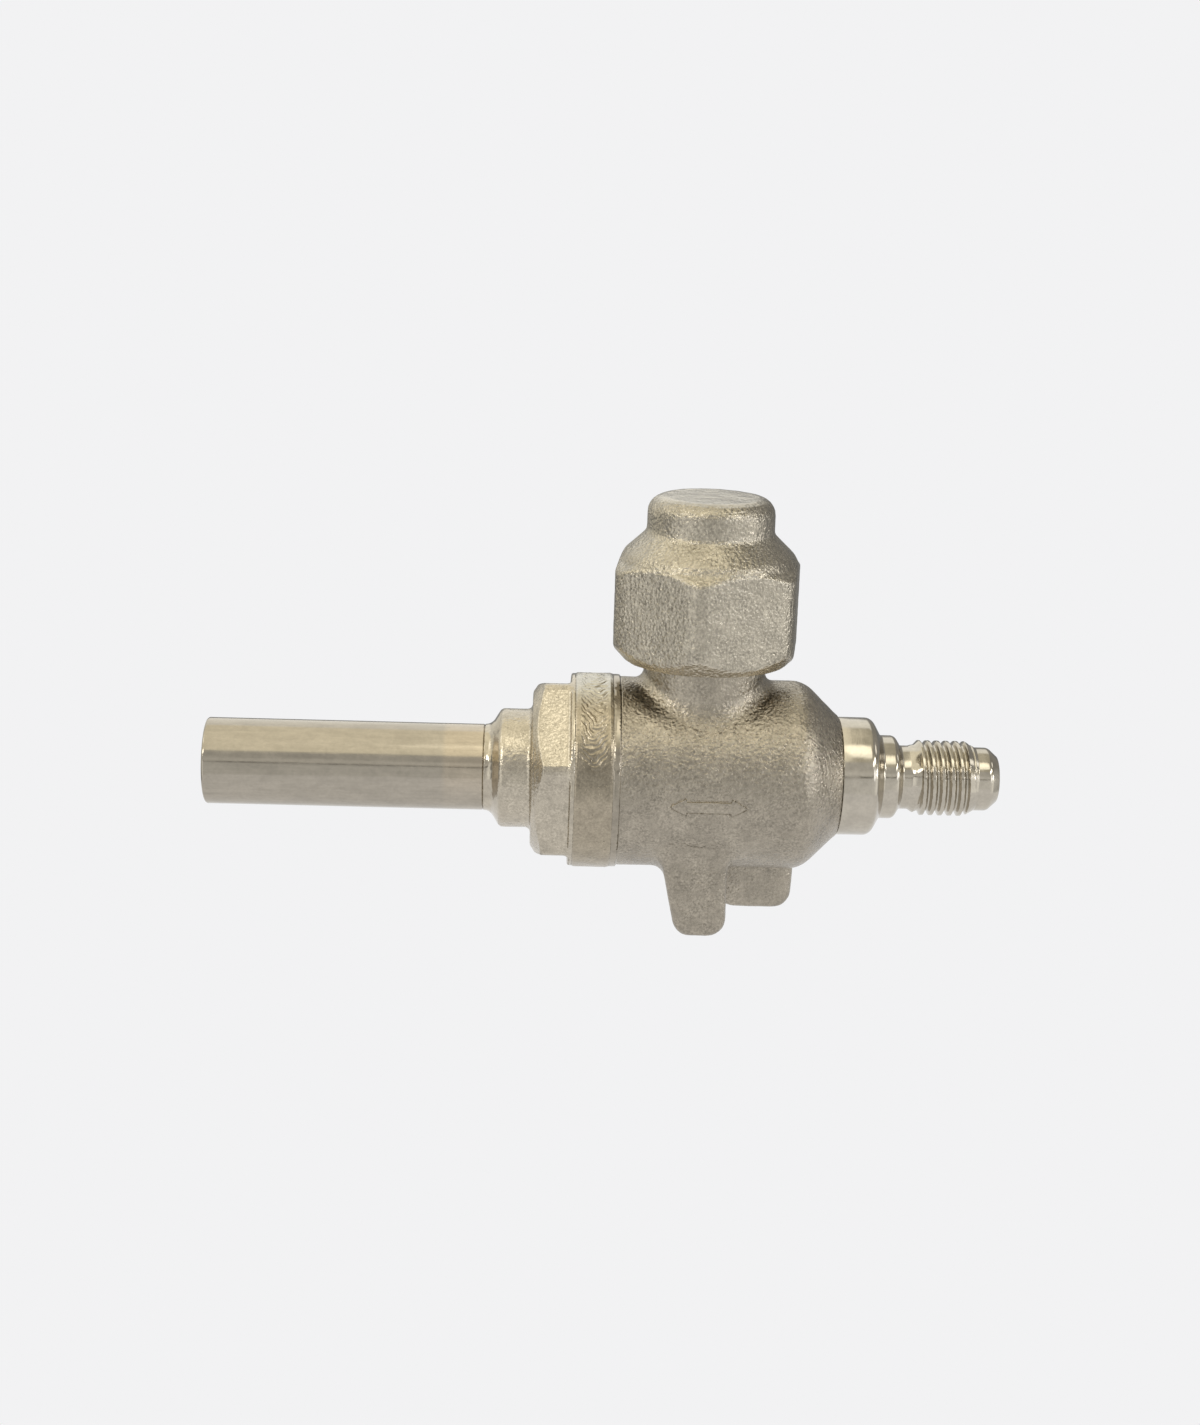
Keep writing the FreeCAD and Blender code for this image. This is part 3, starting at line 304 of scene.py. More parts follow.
def lathe(name, profile, segments, shape=None, sharp=30):
    """A closed ring turned round the flow axis from (x, radius) points, with shape(x, r, turn) for what isn't round."""
    prof = np.array(profile, float)
    turn = 2 * math.pi * np.arange(segments) / segments
    x = np.repeat(prof[:, 0][:, None], segments, 1)
    r = np.repeat(prof[:, 1][:, None], segments, 1)
    a = np.repeat(turn[None], len(prof), 0)
    if shape:
        x, r = shape(x, r, a)
    p = np.stack([x, r * np.cos(a), r * np.sin(a)], -1).reshape(-1, 3)
    n = len(prof)
    i, j = np.meshgrid(np.arange(n), np.arange(segments), indexing="ij")
    i2, j2 = (i + 1) % n, (j + 1) % segments
    quads = np.stack([i * segments + j, i * segments + j2, i2 * segments + j2, i2 * segments + j], -1).reshape(-1, 4)
    area = 0.5 * float(np.sum(prof[:, 0] * np.roll(prof[:, 1], -1) - np.roll(prof[:, 0], -1) * prof[:, 1]))
    if area < 0:
        quads = quads[:, ::-1]
    mesh = bpy.data.meshes.new(name)
    mesh.from_pydata(((p + SHIFT) * 0.001).tolist(), [], quads.tolist())
    mesh.polygons.foreach_set("use_smooth", np.ones(len(mesh.polygons), bool))
    mesh.set_sharp_from_angle(angle=math.radians(sharp))
    mesh.update()
    return link(mesh, name)


# ------------------------------------------------------------------ cast body
BARREL = rounded([(-17.3, -60), (-17.3, 13.2), (-14.3, 15.35), (-13.3, 15.32, 0.08), (-13.12, 15.05, 0.1), (-12.9, 15.0), (-12.5, 15.04), (16.1, 15.04, 4.8), (21.8, 9.55), (21.8, -60)])
NECK = rounded([(-60, 0), (9.6, 0), (9.6, 18.6, 0.3), (9.1, 19.1), (9.1, 19.4), (9.95, 19.9), (9.95, 27.0), (9.45, 27.5), (-60, 27.5)])
ARROW_MID, ARROW_Z = 0.5, -1.2
ARROW = [(ARROW_MID + a, ARROW_Z + b) for a, b in [
    (-6.13, 0), (-3.4, -1.5), (-3.4, -0.9), (3.4, -0.9), (3.4, -1.5), (6.13, 0), (3.4, 1.5), (3.4, 0.9), (-3.4, 0.9), (-3.4, 1.5)]]
FRONT_FOOT = rounded([(0.1 - 3.7, -24.0, 2.9), (0.1 + 4.3, -24.0, 2.9), (0.1 + 4.2, -9.0), (0.1 - 6.9, -9.0)])
REAR_FOOT = rounded([(11.1 - 7.1, -24.0, 2.9), (11.1 + 4.9, -24.0, 2.9), (11.1 + 5.6, -9.0), (11.1 - 7.1, -9.0)])
FLOW_HOLLOW = [(-20, -60), (-20, 11.0), (-10.3, 11.0), (-10.3, 9.0), (9.5, 9.0), (9.5, 4.25), (13.0, 4.25), (13.0, 7.0), (24, 7.0), (24, -60)]
STEM_HOLLOW = [(-60, 0), (5.4, 0), (5.4, 11.2), (4.05, 11.2), (4.05, 20.0), (6.2, 20.0), (6.2, 30), (-60, 30)]
body_wander = waves(3, 9.0, 2.6, 10)
body_pebble = waves(4, 2.3, 1.15, 12)


def foot(x, y, z, outline, middle):
    d = poly(x, z, outline) + 1.5
    e = np.abs(y - middle) - 4.3 + 1.5
    return np.minimum(np.maximum(d, e), 0) + np.hypot(np.maximum(d, 0), np.maximum(e, 0)) - 1.5


def valve_body(p):
    x, y, z = p[:, 0], p[:, 1], p[:, 2]
    rx, rz = np.hypot(y, z), np.hypot(x, y)
    neck = poly(rz, z, NECK)
    groove = np.where(z > 19.7, 0.5 * (rz - thread(z, np.arctan2(y, x), 9.95)), -1.0)
    f = union(poly(x, rx, BARREL), np.maximum(neck, groove), 1.8)
    edge = poly(x, z, ARROW)
    front = 1 - ramp(y, -7.0, -6.0)
    under = 0.25 + 0.75 * (1 - ramp(z, ARROW_Z - 0.5, ARROW_Z + 0.1))
    f = f + 0.1 * front * under * np.exp(-((edge - 0.08) / 0.09) ** 2)
    f = np.minimum(f, np.maximum(common(edge, rx - 15.29, 0.08), y + 6))
    f = union(f, foot(x, y, z, FRONT_FOOT, -7.0), 1.7)
    f = union(f, foot(x, y, z, REAR_FOOT, 7.0), 1.7)
    skin = ramp(x, -12.9, -12.0) * (1 - ramp(x, 21.2, 21.7)) * (1 - ramp(z, 18.2, 18.8))
    f = f + skin * (0.05 * body_wander(p) + 0.035 * body_pebble(p))
    f = np.maximum(f, -poly(x, rx, FLOW_HOLLOW))
    f = np.maximum(f, -poly(rz, z, STEM_HOLLOW))
    for hx, hy in ((0.1, -7.0), (11.1, 7.0)):
        d = np.hypot(x - hx, y - hy)
        f = np.maximum(f, -np.maximum(d - 1.65 - np.clip(-23.55 - z, 0, 0.45), z + 15.5))
    pin = np.hypot(x - 7.3 * math.cos(math.pi / 4), y - 7.3 * math.sin(math.pi / 4)) - 0.9
    return np.maximum(f, -np.maximum(pin, 25.0 - z))


def body_marks(p, g):
    """1 on the cast skin, 0 on what is machined."""
    x, y, z = p[:, 0], p[:, 1], p[:, 2]
    rx, rz = np.hypot(y, z), np.hypot(x, y)
    skin = ramp(x, -13.2, -12.9) * (1 - ramp(x, 21.5, 21.75)) * (1 - ramp(z, 18.3, 18.7))
    hollow = (rx < 12.5) & (z > -14) & ((rz < 6.5) | (rx < 9.2) | ((x < -9) & (rx < 11.5)) | ((x > 9) & (rx < 7.4)))
    hole = (np.hypot(x - 0.1, y + 7) < 2.3) | (np.hypot(x - 11.1, y - 7) < 2.3)
    skin = skin * (1 - hollow) * np.where(hole & (z < -14), 0.15, 1)
    return {"skin": skin}


# ------------------------------------------------------------------ seal cap
CAP_OUTER = rounded([
    (-60, 18.7), (12.9, 18.7), (16.9, 22.9), (19, 22.9), (19, 32.45), (16.6, 32.45), (14.0, 34.45, 0.8), (13.3, 35.75, 2.0),
    (9.95, 38.9, 1.6), (9.95, 44.5, 2.7), (-60, 44.5)])
CAP_HEX = hexagon(28.0, 3.8, 261.25)
CAP_HOLLOW = rounded([(-60, 10), (10.7, 10), (10.7, 19.4), (10.05, 20.05), (10.05, 28.7), (8.5, 28.7), (8.5, 36), (8.0, 37.5), (8.0, 41.3, 1.0), (-60, 41.3)])
cap_wander = waves(8, 8.0, 2.6, 10)
cap_pebble = waves(9, 2.2, 1.1, 12)


def cap(p):
    x, y, z = p[:, 0], p[:, 1], p[:, 2]
    rz = np.hypot(x, y)
    f = common(poly(x, y, CAP_HEX), poly(rz, z, CAP_OUTER), 0.4)
    f = f + 0.05 * cap_wander(p) + 0.045 * cap_pebble(p)
    hollow = poly(rz, z, CAP_HOLLOW)
    wall = np.where(z < 27.6, 0.5 * (rz - (thread(z, np.arctan2(y, x), 9.95) + 0.14)), -1.0)
    hollow = np.where(z > 18.9, np.maximum(hollow, wall), hollow)
    return np.maximum(f, -hollow)


def cap_marks(p, g):
    rz = np.hypot(p[:, 0], p[:, 1])
    inner = (rz < 10.9) & (p[:, 2] < 41.6) & (p[:, 2] > 18.2) & ~((rz > 9.4) & (p[:, 2] > 36.5))
    # The second entry marks the cap's downward-facing outer faces, whose colour is made half as light again: painted
    # light on the shaded underside.
    return {"skin": (1.0 - inner) * (1 - 0.7 * ramp(p[:, 2], 43.9, 44.3)), "bare": (1.0 - inner) * ramp(-g[:, 2], 0.3, 0.6)}


# ------------------------------------------------------------------ end adapter
ADAPTER = rounded([
    (-34.4, -60), (-34.4, 6.72), (-34.27, 6.85), (-33.3, 6.85, 1.7), (-31.75, 9.46, 0.9), (-26.7, 9.46, 1.0), (-26.7, 12.3, 0.3), (-20.9, 12.3, 0.35),
    (-20.9, 15.3, 0.3), (-20.2, 15.3), (-17.3, 13.2), (-17.3, 10.97), (-10.3, 10.97), (-10.3, 8.9), (-9.5, 8.9), (-9.5, -60)])
ADAPTER_HEX = hexagon(27.0, 2.4, 164.5)
HEX_CROWN = [(-26.7, -60), (-26.7, 11.9), (-26.58, 12.5), (-26.35, 13.0), (-26.0, 13.5), (-25.6, 14.1), (-25.25, 14.9), (-25.1, 15.5), (-25.0, 17.3), (-20.9, 17.3), (-20.9, -60)]
ADAPTER_BORE = [(-40, -60), (-40, 5.2), (-26.7, 5.2), (-25.7, 4.25), (-8.5, 4.25), (-8.5, -60)]
adapter_wander = waves(21, 8.0, 2.4, 10)
adapter_pebble = waves(22, 2.2, 1.1, 12)


def end_adapter(p):
    x, y, z = p[:, 0], p[:, 1], p[:, 2]
    rx = np.hypot(y, z)
    nut = common(poly(y, z, ADAPTER_HEX), poly(x, rx, HEX_CROWN), 0.3)
    f = union(poly(x, rx, ADAPTER), nut, 0.6)
    f = f + ramp(x, -32.5, -31.5) * (1 - ramp(x, -20.9, -20.5)) * (0.04 * adapter_wander(p) + 0.022 * adapter_pebble(p))
    return np.maximum(f, -poly(x, rx, ADAPTER_BORE))


def adapter_marks(p, g):
    x, rx = p[:, 0], np.hypot(p[:, 1], p[:, 2])
    return {"skin": ramp(x, -32.4, -31.2) * (1 - ramp(x, -20.85, -20.6)) * (rx > 6.0)}


body_piece = carved("valve_body_casting", valve_body, (-18.2, -16.4, -24.9), (23.2, 16.4, 28.4), 0.46,
    finer=[
        lambda p: (p[:, 1] < -8) & (np.abs(p[:, 0] - ARROW_MID) < 7.3) & (p[:, 2] > -3.6) & (p[:, 2] < 1.3) & (np.hypot(p[:, 1], p[:, 2]) > 14.5),
        lambda p: (p[:, 1] < -8) & (np.abs(poly(p[:, 0], p[:, 2], ARROW)) < 0.9) & (np.hypot(p[:, 1], p[:, 2]) > 14.5),
        lambda p: (p[:, 1] < -8) & (np.abs(poly(p[:, 0], p[:, 2], ARROW)) < 0.45) & (np.hypot(p[:, 1], p[:, 2]) > 14.5),
        lambda p: (np.abs(p[:, 0] + 13.15) < 0.9) & (np.hypot(p[:, 1], p[:, 2]) > 14.5),
        lambda p: (np.abs(p[:, 0] + 13.15) < 0.4) & (np.hypot(p[:, 1], p[:, 2]) > 14.5),
        lambda p: (p[:, 2] > 19.4) & (p[:, 2] < 27.7) & (np.hypot(p[:, 0], p[:, 1]) > 9.2),
    ], marks=body_marks)
cap_piece = carved("cap_casting", cap, (-17.2, -17.2, 17.4), (17.2, 17.2, 44.8), 0.36,
    finer=[lambda p: (p[:, 2] > 19.6) & (p[:, 2] < 28.5) & (np.hypot(p[:, 0], p[:, 1]) < 10.3) & (np.hypot(p[:, 0], p[:, 1]) > 8.9)], marks=cap_marks)
adapter_piece = carved("end_adapter_casting", end_adapter, (-35.4, -17.2, -17.2), (-8.6, 17.2, 17.2), 0.36,
    finer=[lambda p: (p[:, 0] < -33.6) & (np.hypot(p[:, 1], p[:, 2]) > 6.2)], marks=adapter_marks)


# ------------------------------------------------------------------ closing weld
def weld_shape(x, r, a):
    """Overlapping U-shaped ripples laid along the bead, uneven in spacing and depth."""
    crown = ramp(r, 15.2, 15.4)
    s = (x + 17.25) / 2.6
    drift = 0.12 + 0.1 * np.sin(4 * a + 0.5) + 0.06 * np.sin(9 * a)
    bow = np.abs(s - drift)
    warp = 0.32 * np.sin(3.1 * s + 7 * a) + 0.24 * np.sin(17 * a + 4.3 * s + 1.0) + 0.16 * np.sin(29 * a - 7.1 * s) + 0.1 * np.sin(47 * a + 9 * s)
    phase = a * 15.5 + 2.6 * bow ** 1.5 + warp
    uneven = 0.74 + 0.26 * np.sin(5.3 * phase / 2.9 + 2 * np.sin(a * 13))
    ripple = np.abs(np.sin(math.pi * phase / 1.02)) ** 0.8
    fine = 0.5 + 0.5 * np.sin(2 * math.pi * phase / 0.39 + 2 * s)
    front = ramp(a, math.radians(158), math.radians(168)) * (1 - ramp(a, math.radians(255), math.radians(285)))
    hot = 1 - 0.9 * front
    edge = 1 - ramp(np.abs(s), 0.55, 0.9)
    lumps = 0.5 + 0.25 * np.sin(19 * a + 5 * s) + 0.25 * np.sin(31 * a - 3 * s + 2)
    cut = 0.02 + hot * edge * (0.16 * uneven * (1 - ripple) + 0.026 * fine) + 0.04 * lumps * (0.35 + 0.65 * edge)
    band = 0.03 * np.exp(-((s + 0.93) / 0.04) ** 2) - 0.035 * np.exp(-((s - 0.93) / 0.045) ** 2)
    return x, r - crown * (cut * (1 - 0.8 * ramp(s, 0.95, 1.1)) + band)


weld_profile = [(-17.3, 13.2), (-14.3, 15.35), (-14.36, 15.385), (-14.5, 15.43), (-14.64, 15.465), (-14.78, 15.49)]
weld_profile += [(x, 15.5) for x in np.linspace(-14.9, -19.7, 69)]
weld_profile += [(-19.84, 15.49), (-19.98, 15.44), (-20.1, 15.37), (-20.2, 15.3)]
weld_piece = lathe("weld_bead", weld_profile, 1180, weld_shape, sharp=60)


# ------------------------------------------------------------------ tube
def tube_shape(x, r, a):
    """Drawn tube: a few hundredths out of round, and slightly wavy along its length."""
    out = r > 6.0
    wave = 0.008 * np.sin(2 * a + 0.4) + 0.005 * np.sin(3 * a + x / 9.0) + 0.004 * np.sin(x / 4.1 + 2 * a)
    return x, np.where(out, r - 0.017 + wave * (1 - ramp(x, -37, -35)), r)


tube_profile = spaced(rounded([(-78.3, 5.2, 0.15), (-78.3, 6.85, 0.45), (-34.55, 6.85), (-34.4, 6.72), (-34.4, 5.2)]), 1.2)
tube_piece = lathe("tube_wall", tube_profile, 160, tube_shape)


# ------------------------------------------------------------------ service port
def port_shape(x, r, a):
    """The male thread: rounded crests and roots, run out on both end tapers."""
    at = np.abs((x - 1.5 * a / (2 * math.pi)) % 1.5 - 0.75)
    cut = (x > 34.0) & (x < 43.7) & (r > 5.09)
    return x, np.where(cut, np.minimum(r, 6.0 - 0.7 * (1 - ramp(at, 0.1, 0.56))), r)


port_profile = rounded([
    (13.1, 2.5), (13.1, 6.97, 0.3), (21.8, 6.97), (21.8, 9.4, 0.12), (27.05, 9.4, 1.6), (28.6, 6.64, 0.45), (30.85, 6.64, 1.0), (31.85, 5.07, 0.4), (33.3, 5.07, 0.7),
    (34.8, 6.0, 0.2), (42.2, 6.0, 0.5), (43.9, 5.05, 0.25), (45.95, 5.05, 1.2), (47.45, 3.7, 0.15), (47.45, 3.0, 0.1), (46.95, 2.5, 0.1)], 5)
fine_profile = []
for k in range(len(port_profile)):
    a, b = np.array(port_profile[k]), np.array(port_profile[(k + 1) % len(port_profile)])
    step = 0.07 if (min(a[0], b[0]) > 33.5 and max(a[0], b[0]) < 44.0 and min(a[1], b[1]) > 4.9) else 1.5
    n = max(1, int(math.ceil(np.linalg.norm(b - a) / step)))
    fine_profile += [tuple(a + (b - a) * j / n) for j in range(n)]
port_piece = lathe("service_port_turned", fine_profile, 240, port_shape, sharp=38)


# ------------------------------------------------------------------ material tools
class Tree:
    """Short ways to put nodes into a material or world."""

    def __init__(self, tree):
        self.tree = tree
        self.tree.nodes.clear()

    def add(self, kind, inputs=None, **settings):
        node = self.tree.nodes.new(kind)
        for key, value in settings.items():
            setattr(node, key, value)
        for key, value in (inputs or {}).items():
            self.put(node.inputs[key], value)
        return node

    def put(self, socket, value):
        if isinstance(value, bpy.types.NodeSocket):
            self.tree.links.new(value, socket)
        else:
            socket.default_value = value

    def math(self, kind, a, b=0.0, c=0.0, clamp=False):
        node = self.tree.nodes.new("ShaderNodeMath")
        node.operation, node.use_clamp = kind, clamp
        for i, value in enumerate((a, b, c)):
            self.put(node.inputs[i], value)
        return node.outputs[0]

    def span(self, value, a, b, low=0.0, high=1.0, smooth=True):
        node = self.add("ShaderNodeMapRange", {"Value": value, "From Min": a, "From Max": b, "To Min": low, "To Max": high},
                        interpolation_type="SMOOTHSTEP" if smooth else "LINEAR")
        return node.outputs["Result"]

    def mix(self, factor, a, b):
        node = self.add("ShaderNodeMix", data_type="RGBA")
        self.put(node.inputs[0], factor)
        for i, value in ((6, a), (7, b)):
            self.put(node.inputs[i], value if isinstance(value, bpy.types.NodeSocket) else (*value[:3], 1.0))
        return node.outputs[2]

    def tint(self, colour, factor):
        """colour times a number from a socket."""
        node = self.add("ShaderNodeMix", data_type="RGBA", blend_type="MULTIPLY")
        node.inputs[0].default_value = 1.0
        self.put(node.inputs[6], colour if isinstance(colour, bpy.types.NodeSocket) else (*colour[:3], 1.0))
        self.put(node.inputs[7], factor)
        return node.outputs[2]

    def noise(self, at, scale, detail=2.0, rough=0.5, distort=0.0):
        return self.add("ShaderNodeTexNoise", {"Vector": at, "Scale": scale, "Detail": detail, "Roughness": rough, "Distortion": distort}).outputs["Fac"]


def material(name):
    mat = bpy.data.materials.new(name)
    mat.use_nodes = True
    t = Tree(mat.node_tree)
    coord = t.add("ShaderNodeTexCoord").outputs["Object"]
    mm = t.add("ShaderNodeVectorMath", {0: coord, 1: (1000.0, 1000.0, 1000.0)}, operation="MULTIPLY").outputs[0]
    shader = t.add("ShaderNodeBsdfPrincipled")
    out = t.add("ShaderNodeOutputMaterial")
    t.tree.links.new(shader.outputs[0], out.inputs["Surface"])
    return mat, t, mm, shader


def stretched(t, mm, x, y, z):
    return t.add("ShaderNodeVectorMath", {0: mm, 1: (x, y, z)}, operation="MULTIPLY").outputs[0]


def dress(obj, mat):
    obj.data.materials.clear()
    obj.data.materials.append(mat)


def cast_steel(name, colour, depth=0.000075, rough=0.29, speck=0.2):
    """Tumbled investment casting: pebbled satin skin, with smoother machined places."""
    mat, t, mm, shader = material(name)
    skin = t.add("ShaderNodeAttribute", attribute_name="skin").outputs["Fac"]
    large = t.noise(mm, 0.22, 3.0, 0.55)
    small = t.noise(mm, 1.3, 3.0, 0.6)
    fleck = t.noise(mm, 3.0, 2.0, 0.5)
    patchy = t.span(t.noise(mm, 0.5, 2.0, 0.5), 0.35, 0.65, 0.45, 1.35)
    bare = t.add("ShaderNodeAttribute", attribute_name="bare").outputs["Fac"]
    tone = t.math("ADD", t.span(large, 0.3, 0.7, 0.9, 1.08), t.span(small, 0.3, 0.7, -0.09, 0.09))
    tone = t.math("ADD", tone, t.math("MULTIPLY", skin, t.math("MULTIPLY", patchy, t.span(fleck, 0.3, 0.72, -speck, speck * 1.2))))
    # Faces marked from below get half again as much lightness: painted light on the cap's shaded underside.
    tone = t.math("MULTIPLY_ADD", bare, 0.5, tone)
    shader.inputs["Metallic"].default_value = 1.0
    t.put(shader.inputs["Base Color"], t.tint(colour, tone))
    t.put(shader.inputs["Roughness"], t.math("ADD", t.span(small, 0.3, 0.7, rough - 0.06, rough + 0.06), t.span(skin, 0.0, 1.0, -0.1, 0.0)))
    grain = t.noise(mm, 2.0, 2.0, 0.5, 0.2)
    pebble = t.add("ShaderNodeTexVoronoi", {"Vector": mm, "Scale": 2.1, "Smoothness": 0.6}, feature="SMOOTH_F1").outputs["Distance"]
    height = t.math("MULTIPLY_ADD", grain, 0.75, t.math("MULTIPLY", pebble, 0.35))
    height = t.math("MULTIPLY_ADD", fleck, 0.18, height)
    height = t.math("MULTIPLY", height, skin)
    bump = t.add("ShaderNodeBump", {"Height": height, "Distance": depth})
    bump.inputs["Strength"].default_value = 1.0
    t.put(shader.inputs["Normal"], bump.outputs[0])
    return mat


def turned_steel(name, colour, rough=0.2, pitch=9.0, depth=0.000004, axis="X"):
    """Lathe-turned: fine rings round the axis, and faint smears."""
    mat, t, mm, shader = material(name)
    along = stretched(t, mm, *((pitch, 0.05, 0.05) if axis == "X" else (0.05, 0.05, pitch)))
    rings = t.noise(along, 1.0, 2.0, 0.6)
    smear = t.noise(mm, 0.35, 3.0, 0.6)
    spots = t.noise(mm, 1.8, 3.0, 0.65)
    tone = t.math("ADD", t.span(smear, 0.3, 0.7, 0.92, 1.07), t.span(spots, 0.3, 0.7, -0.04, 0.04))
    shader.inputs["Metallic"].default_value = 1.0
    t.put(shader.inputs["Base Color"], t.tint(colour, tone))
    t.put(shader.inputs["Roughness"], t.span(smear, 0.3, 0.7, rough - 0.04, rough + 0.07))
    height = t.math("MULTIPLY_ADD", rings, 1.0, t.math("MULTIPLY", spots, 0.5))
    bump = t.add("ShaderNodeBump", {"Height": height, "Distance": depth})
    t.put(shader.inputs["Normal"], bump.outputs[0])
    return mat


def drawn_steel(name, colour, tinted):
    """Drawn and pickled tube: semi-bright, blotched, straw-tinted by welding at its right end, the lighter tint kept
    mostly to the upper half as painted light.
    """
    mat, t, mm, shader = material(name)
    split = t.add("ShaderNodeSeparateXYZ", {0: mm})
    lines = t.noise(stretched(t, mm, 0.06, 2.2, 2.2), 1.0, 3.0, 0.6)
    blotch = t.noise(stretched(t, mm, 0.22, 0.5, 0.5), 1.0, 4.0, 0.6, 0.5)
    spots = t.noise(mm, 1.5, 3.0, 0.65)
    heat = t.math("MULTIPLY", t.span(split.outputs[0], -46.8, -45.6), t.span(blotch, 0.2, 0.8, 0.75, 1.0))
    # The tint is full on the upper half and a fifth of that on the lower: the upper side is lighter, painted light on
    # the real weld tint.
    heat = t.math("MULTIPLY", heat, t.span(split.outputs[2], 20.0, 25.0, 0.2, 1.0))
    tone = t.math("ADD", t.span(blotch, 0.3, 0.7, 0.93, 1.06), t.span(spots, 0.3, 0.7, -0.035, 0.035))
    tone = t.math("ADD", tone, t.span(lines, 0.3, 0.7, -0.03, 0.03))
    shader.inputs["Metallic"].default_value = 1.0
    t.put(shader.inputs["Base Color"], t.tint(t.mix(heat, colour, tinted), tone))
    t.put(shader.inputs["Roughness"], t.span(blotch, 0.25, 0.75, 0.11, 0.18))
    height = t.math("MULTIPLY_ADD", lines, 1.0, t.math("MULTIPLY", spots, 0.7))
    bump = t.add("ShaderNodeBump", {"Height": height, "Distance": 0.000006})
    t.put(shader.inputs["Normal"], bump.outputs[0])
    return mat


def weld_steel(name, colour):
    mat, t, mm, shader = material(name)
    blotch = t.noise(mm, 0.5, 4.0, 0.6, 0.4)
    spots = t.noise(mm, 2.6, 3.0, 0.65)
    pits = t.add("ShaderNodeTexVoronoi", {"Vector": mm, "Scale": 0.9, "Randomness": 1.0}).outputs["Distance"]
    pit = t.span(pits, 0.03, 0.16, 1.0, 0.0)
    tone = t.math("ADD", t.span(blotch, 0.3, 0.7, 0.88, 1.08), t.span(spots, 0.3, 0.7, -0.13, 0.13))
    tone = t.math("SUBTRACT", tone, t.math("MULTIPLY", pit, 0.3))
    high = t.add("ShaderNodeSeparateXYZ", {0: mm}).outputs[2]
    # Painted light by height: the top 3 mm of the bead are made up to 0.25 lighter (painted highlight), and a band just
    # above mid-height up to 0.2 darker (painted shade).
    heat = t.math("ADD", t.span(high, 36.0, 39.3, 0.0, 0.25), t.math("MULTIPLY", t.span(high, 22.5, 27.0), t.span(high, 31.0, 33.0, -0.2, 0.0)))
    tone = t.math("ADD", tone, heat)
    shader.inputs["Metallic"].default_value = 1.0
    # Towards the top the colour also turns paler and greyer: painted highlight.
    t.put(shader.inputs["Base Color"], t.tint(t.mix(t.span(high, 36.0, 39.0), colour, (0.42, 0.4, 0.35)), tone))
    t.put(shader.inputs["Roughness"], t.span(blotch, 0.3, 0.7, 0.17, 0.28))
    height = t.math("MULTIPLY_ADD", spots, 0.6, t.math("MULTIPLY", pit, -1.2))
    bump = t.add("ShaderNodeBump", {"Height": height, "Distance": 0.00005})
    t.put(shader.inputs["Normal"], bump.outputs[0])
    return mat


def plain(name, colour, rough, metallic=0.0, depth=0.000006, scale=3.0):
    """Plastic, rubber or sprung steel: fine mottle in tone, gloss and height."""
    mat, t, mm, shader = material(name)
    speck = t.noise(mm, scale, 3.0, 0.6)
    tone = t.span(speck, 0.3, 0.7, 0.9, 1.1)
    shader.inputs["Metallic"].default_value = metallic
    t.put(shader.inputs["Base Color"], t.tint(colour, tone))
    t.put(shader.inputs["Roughness"], t.span(speck, 0.3, 0.7, rough - 0.06, rough + 0.06))
    bump = t.add("ShaderNodeBump", {"Height": speck, "Distance": depth})
    t.put(shader.inputs["Normal"], bump.outputs[0])
    return mat


# The body and cap are the same cast steel: the body's darker and the cap's lighter base colour is partly their own tone
# and partly painted light, for how differently the two are lit.
body_steel = cast_steel("cast_body", (0.36, 0.322, 0.262), depth=0.00019, speck=0.17)
cap_steel = cast_steel("cast_cap", (0.42, 0.382, 0.312), depth=0.00022, rough=0.26, speck=0.21)
adapter_steel = cast_steel("cast_adapter", (0.5, 0.45, 0.365), depth=0.0001, rough=0.23, speck=0.12)
port_steel = turned_steel("turned_port", (0.5, 0.459, 0.386), rough=0.13)
stem_steel = turned_steel("turned_stem", (0.5, 0.47, 0.42), axis="Z")
ball_steel = turned_steel("lapped_ball", (0.62, 0.61, 0.58), rough=0.08, pitch=2.0, depth=0.0000005)
tube_steel = drawn_steel("drawn_tube", (0.41, 0.372, 0.31), (0.49, 0.427, 0.337))
bead_steel = weld_steel("weld_bead", (0.39, 0.34, 0.26))
spring = plain("spring_steel", (0.2, 0.2, 0.2), 0.4, metallic=1.0, depth=0.000002)
seat_plastic = plain("seat_plastic", (0.72, 0.7, 0.62), 0.42)
nylon = plain("seal_nylon", (0.6, 0.54, 0.38), 0.45)
rubber = plain("black_rubber", (0.018, 0.018, 0.018), 0.55, depth=0.00001)

for piece, mat, node, slot in (
    (body_piece, body_steel, "valve_body", "cast_stainless"),
    (adapter_piece, adapter_steel, "end_adapter", "cast_stainless"),
    (weld_piece, bead_steel, "closing_weld", "weld_metal"),
    (tube_piece, tube_steel, "tube_stub", "drawn_stainless"),
    (port_piece, port_steel, "service_port", "turned_stainless"),
    (cap_piece, cap_steel, "cap", "cast_stainless"),
):
    dress(piece, mat)
    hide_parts(node)
    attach(piece, "seal_cap" if node == "cap" else "housing")

for mat, names in (
    (ball_steel, ("ball",)),
    (stem_steel, ("stem", "stop_pin", "stop_plate", "gland_nut")),
    (spring, ("retaining_ring",)),
    (seat_plastic, ("seat_left", "seat_right", "thrust_washer", "packing_ring")),
    (nylon, ("cap_seal",)),
    (rubber, ("seat_oring_left", "seat_oring_right", "stem_oring_lower", "stem_oring_upper")),
):
    for n in names:
        dress(NODES[n], mat)


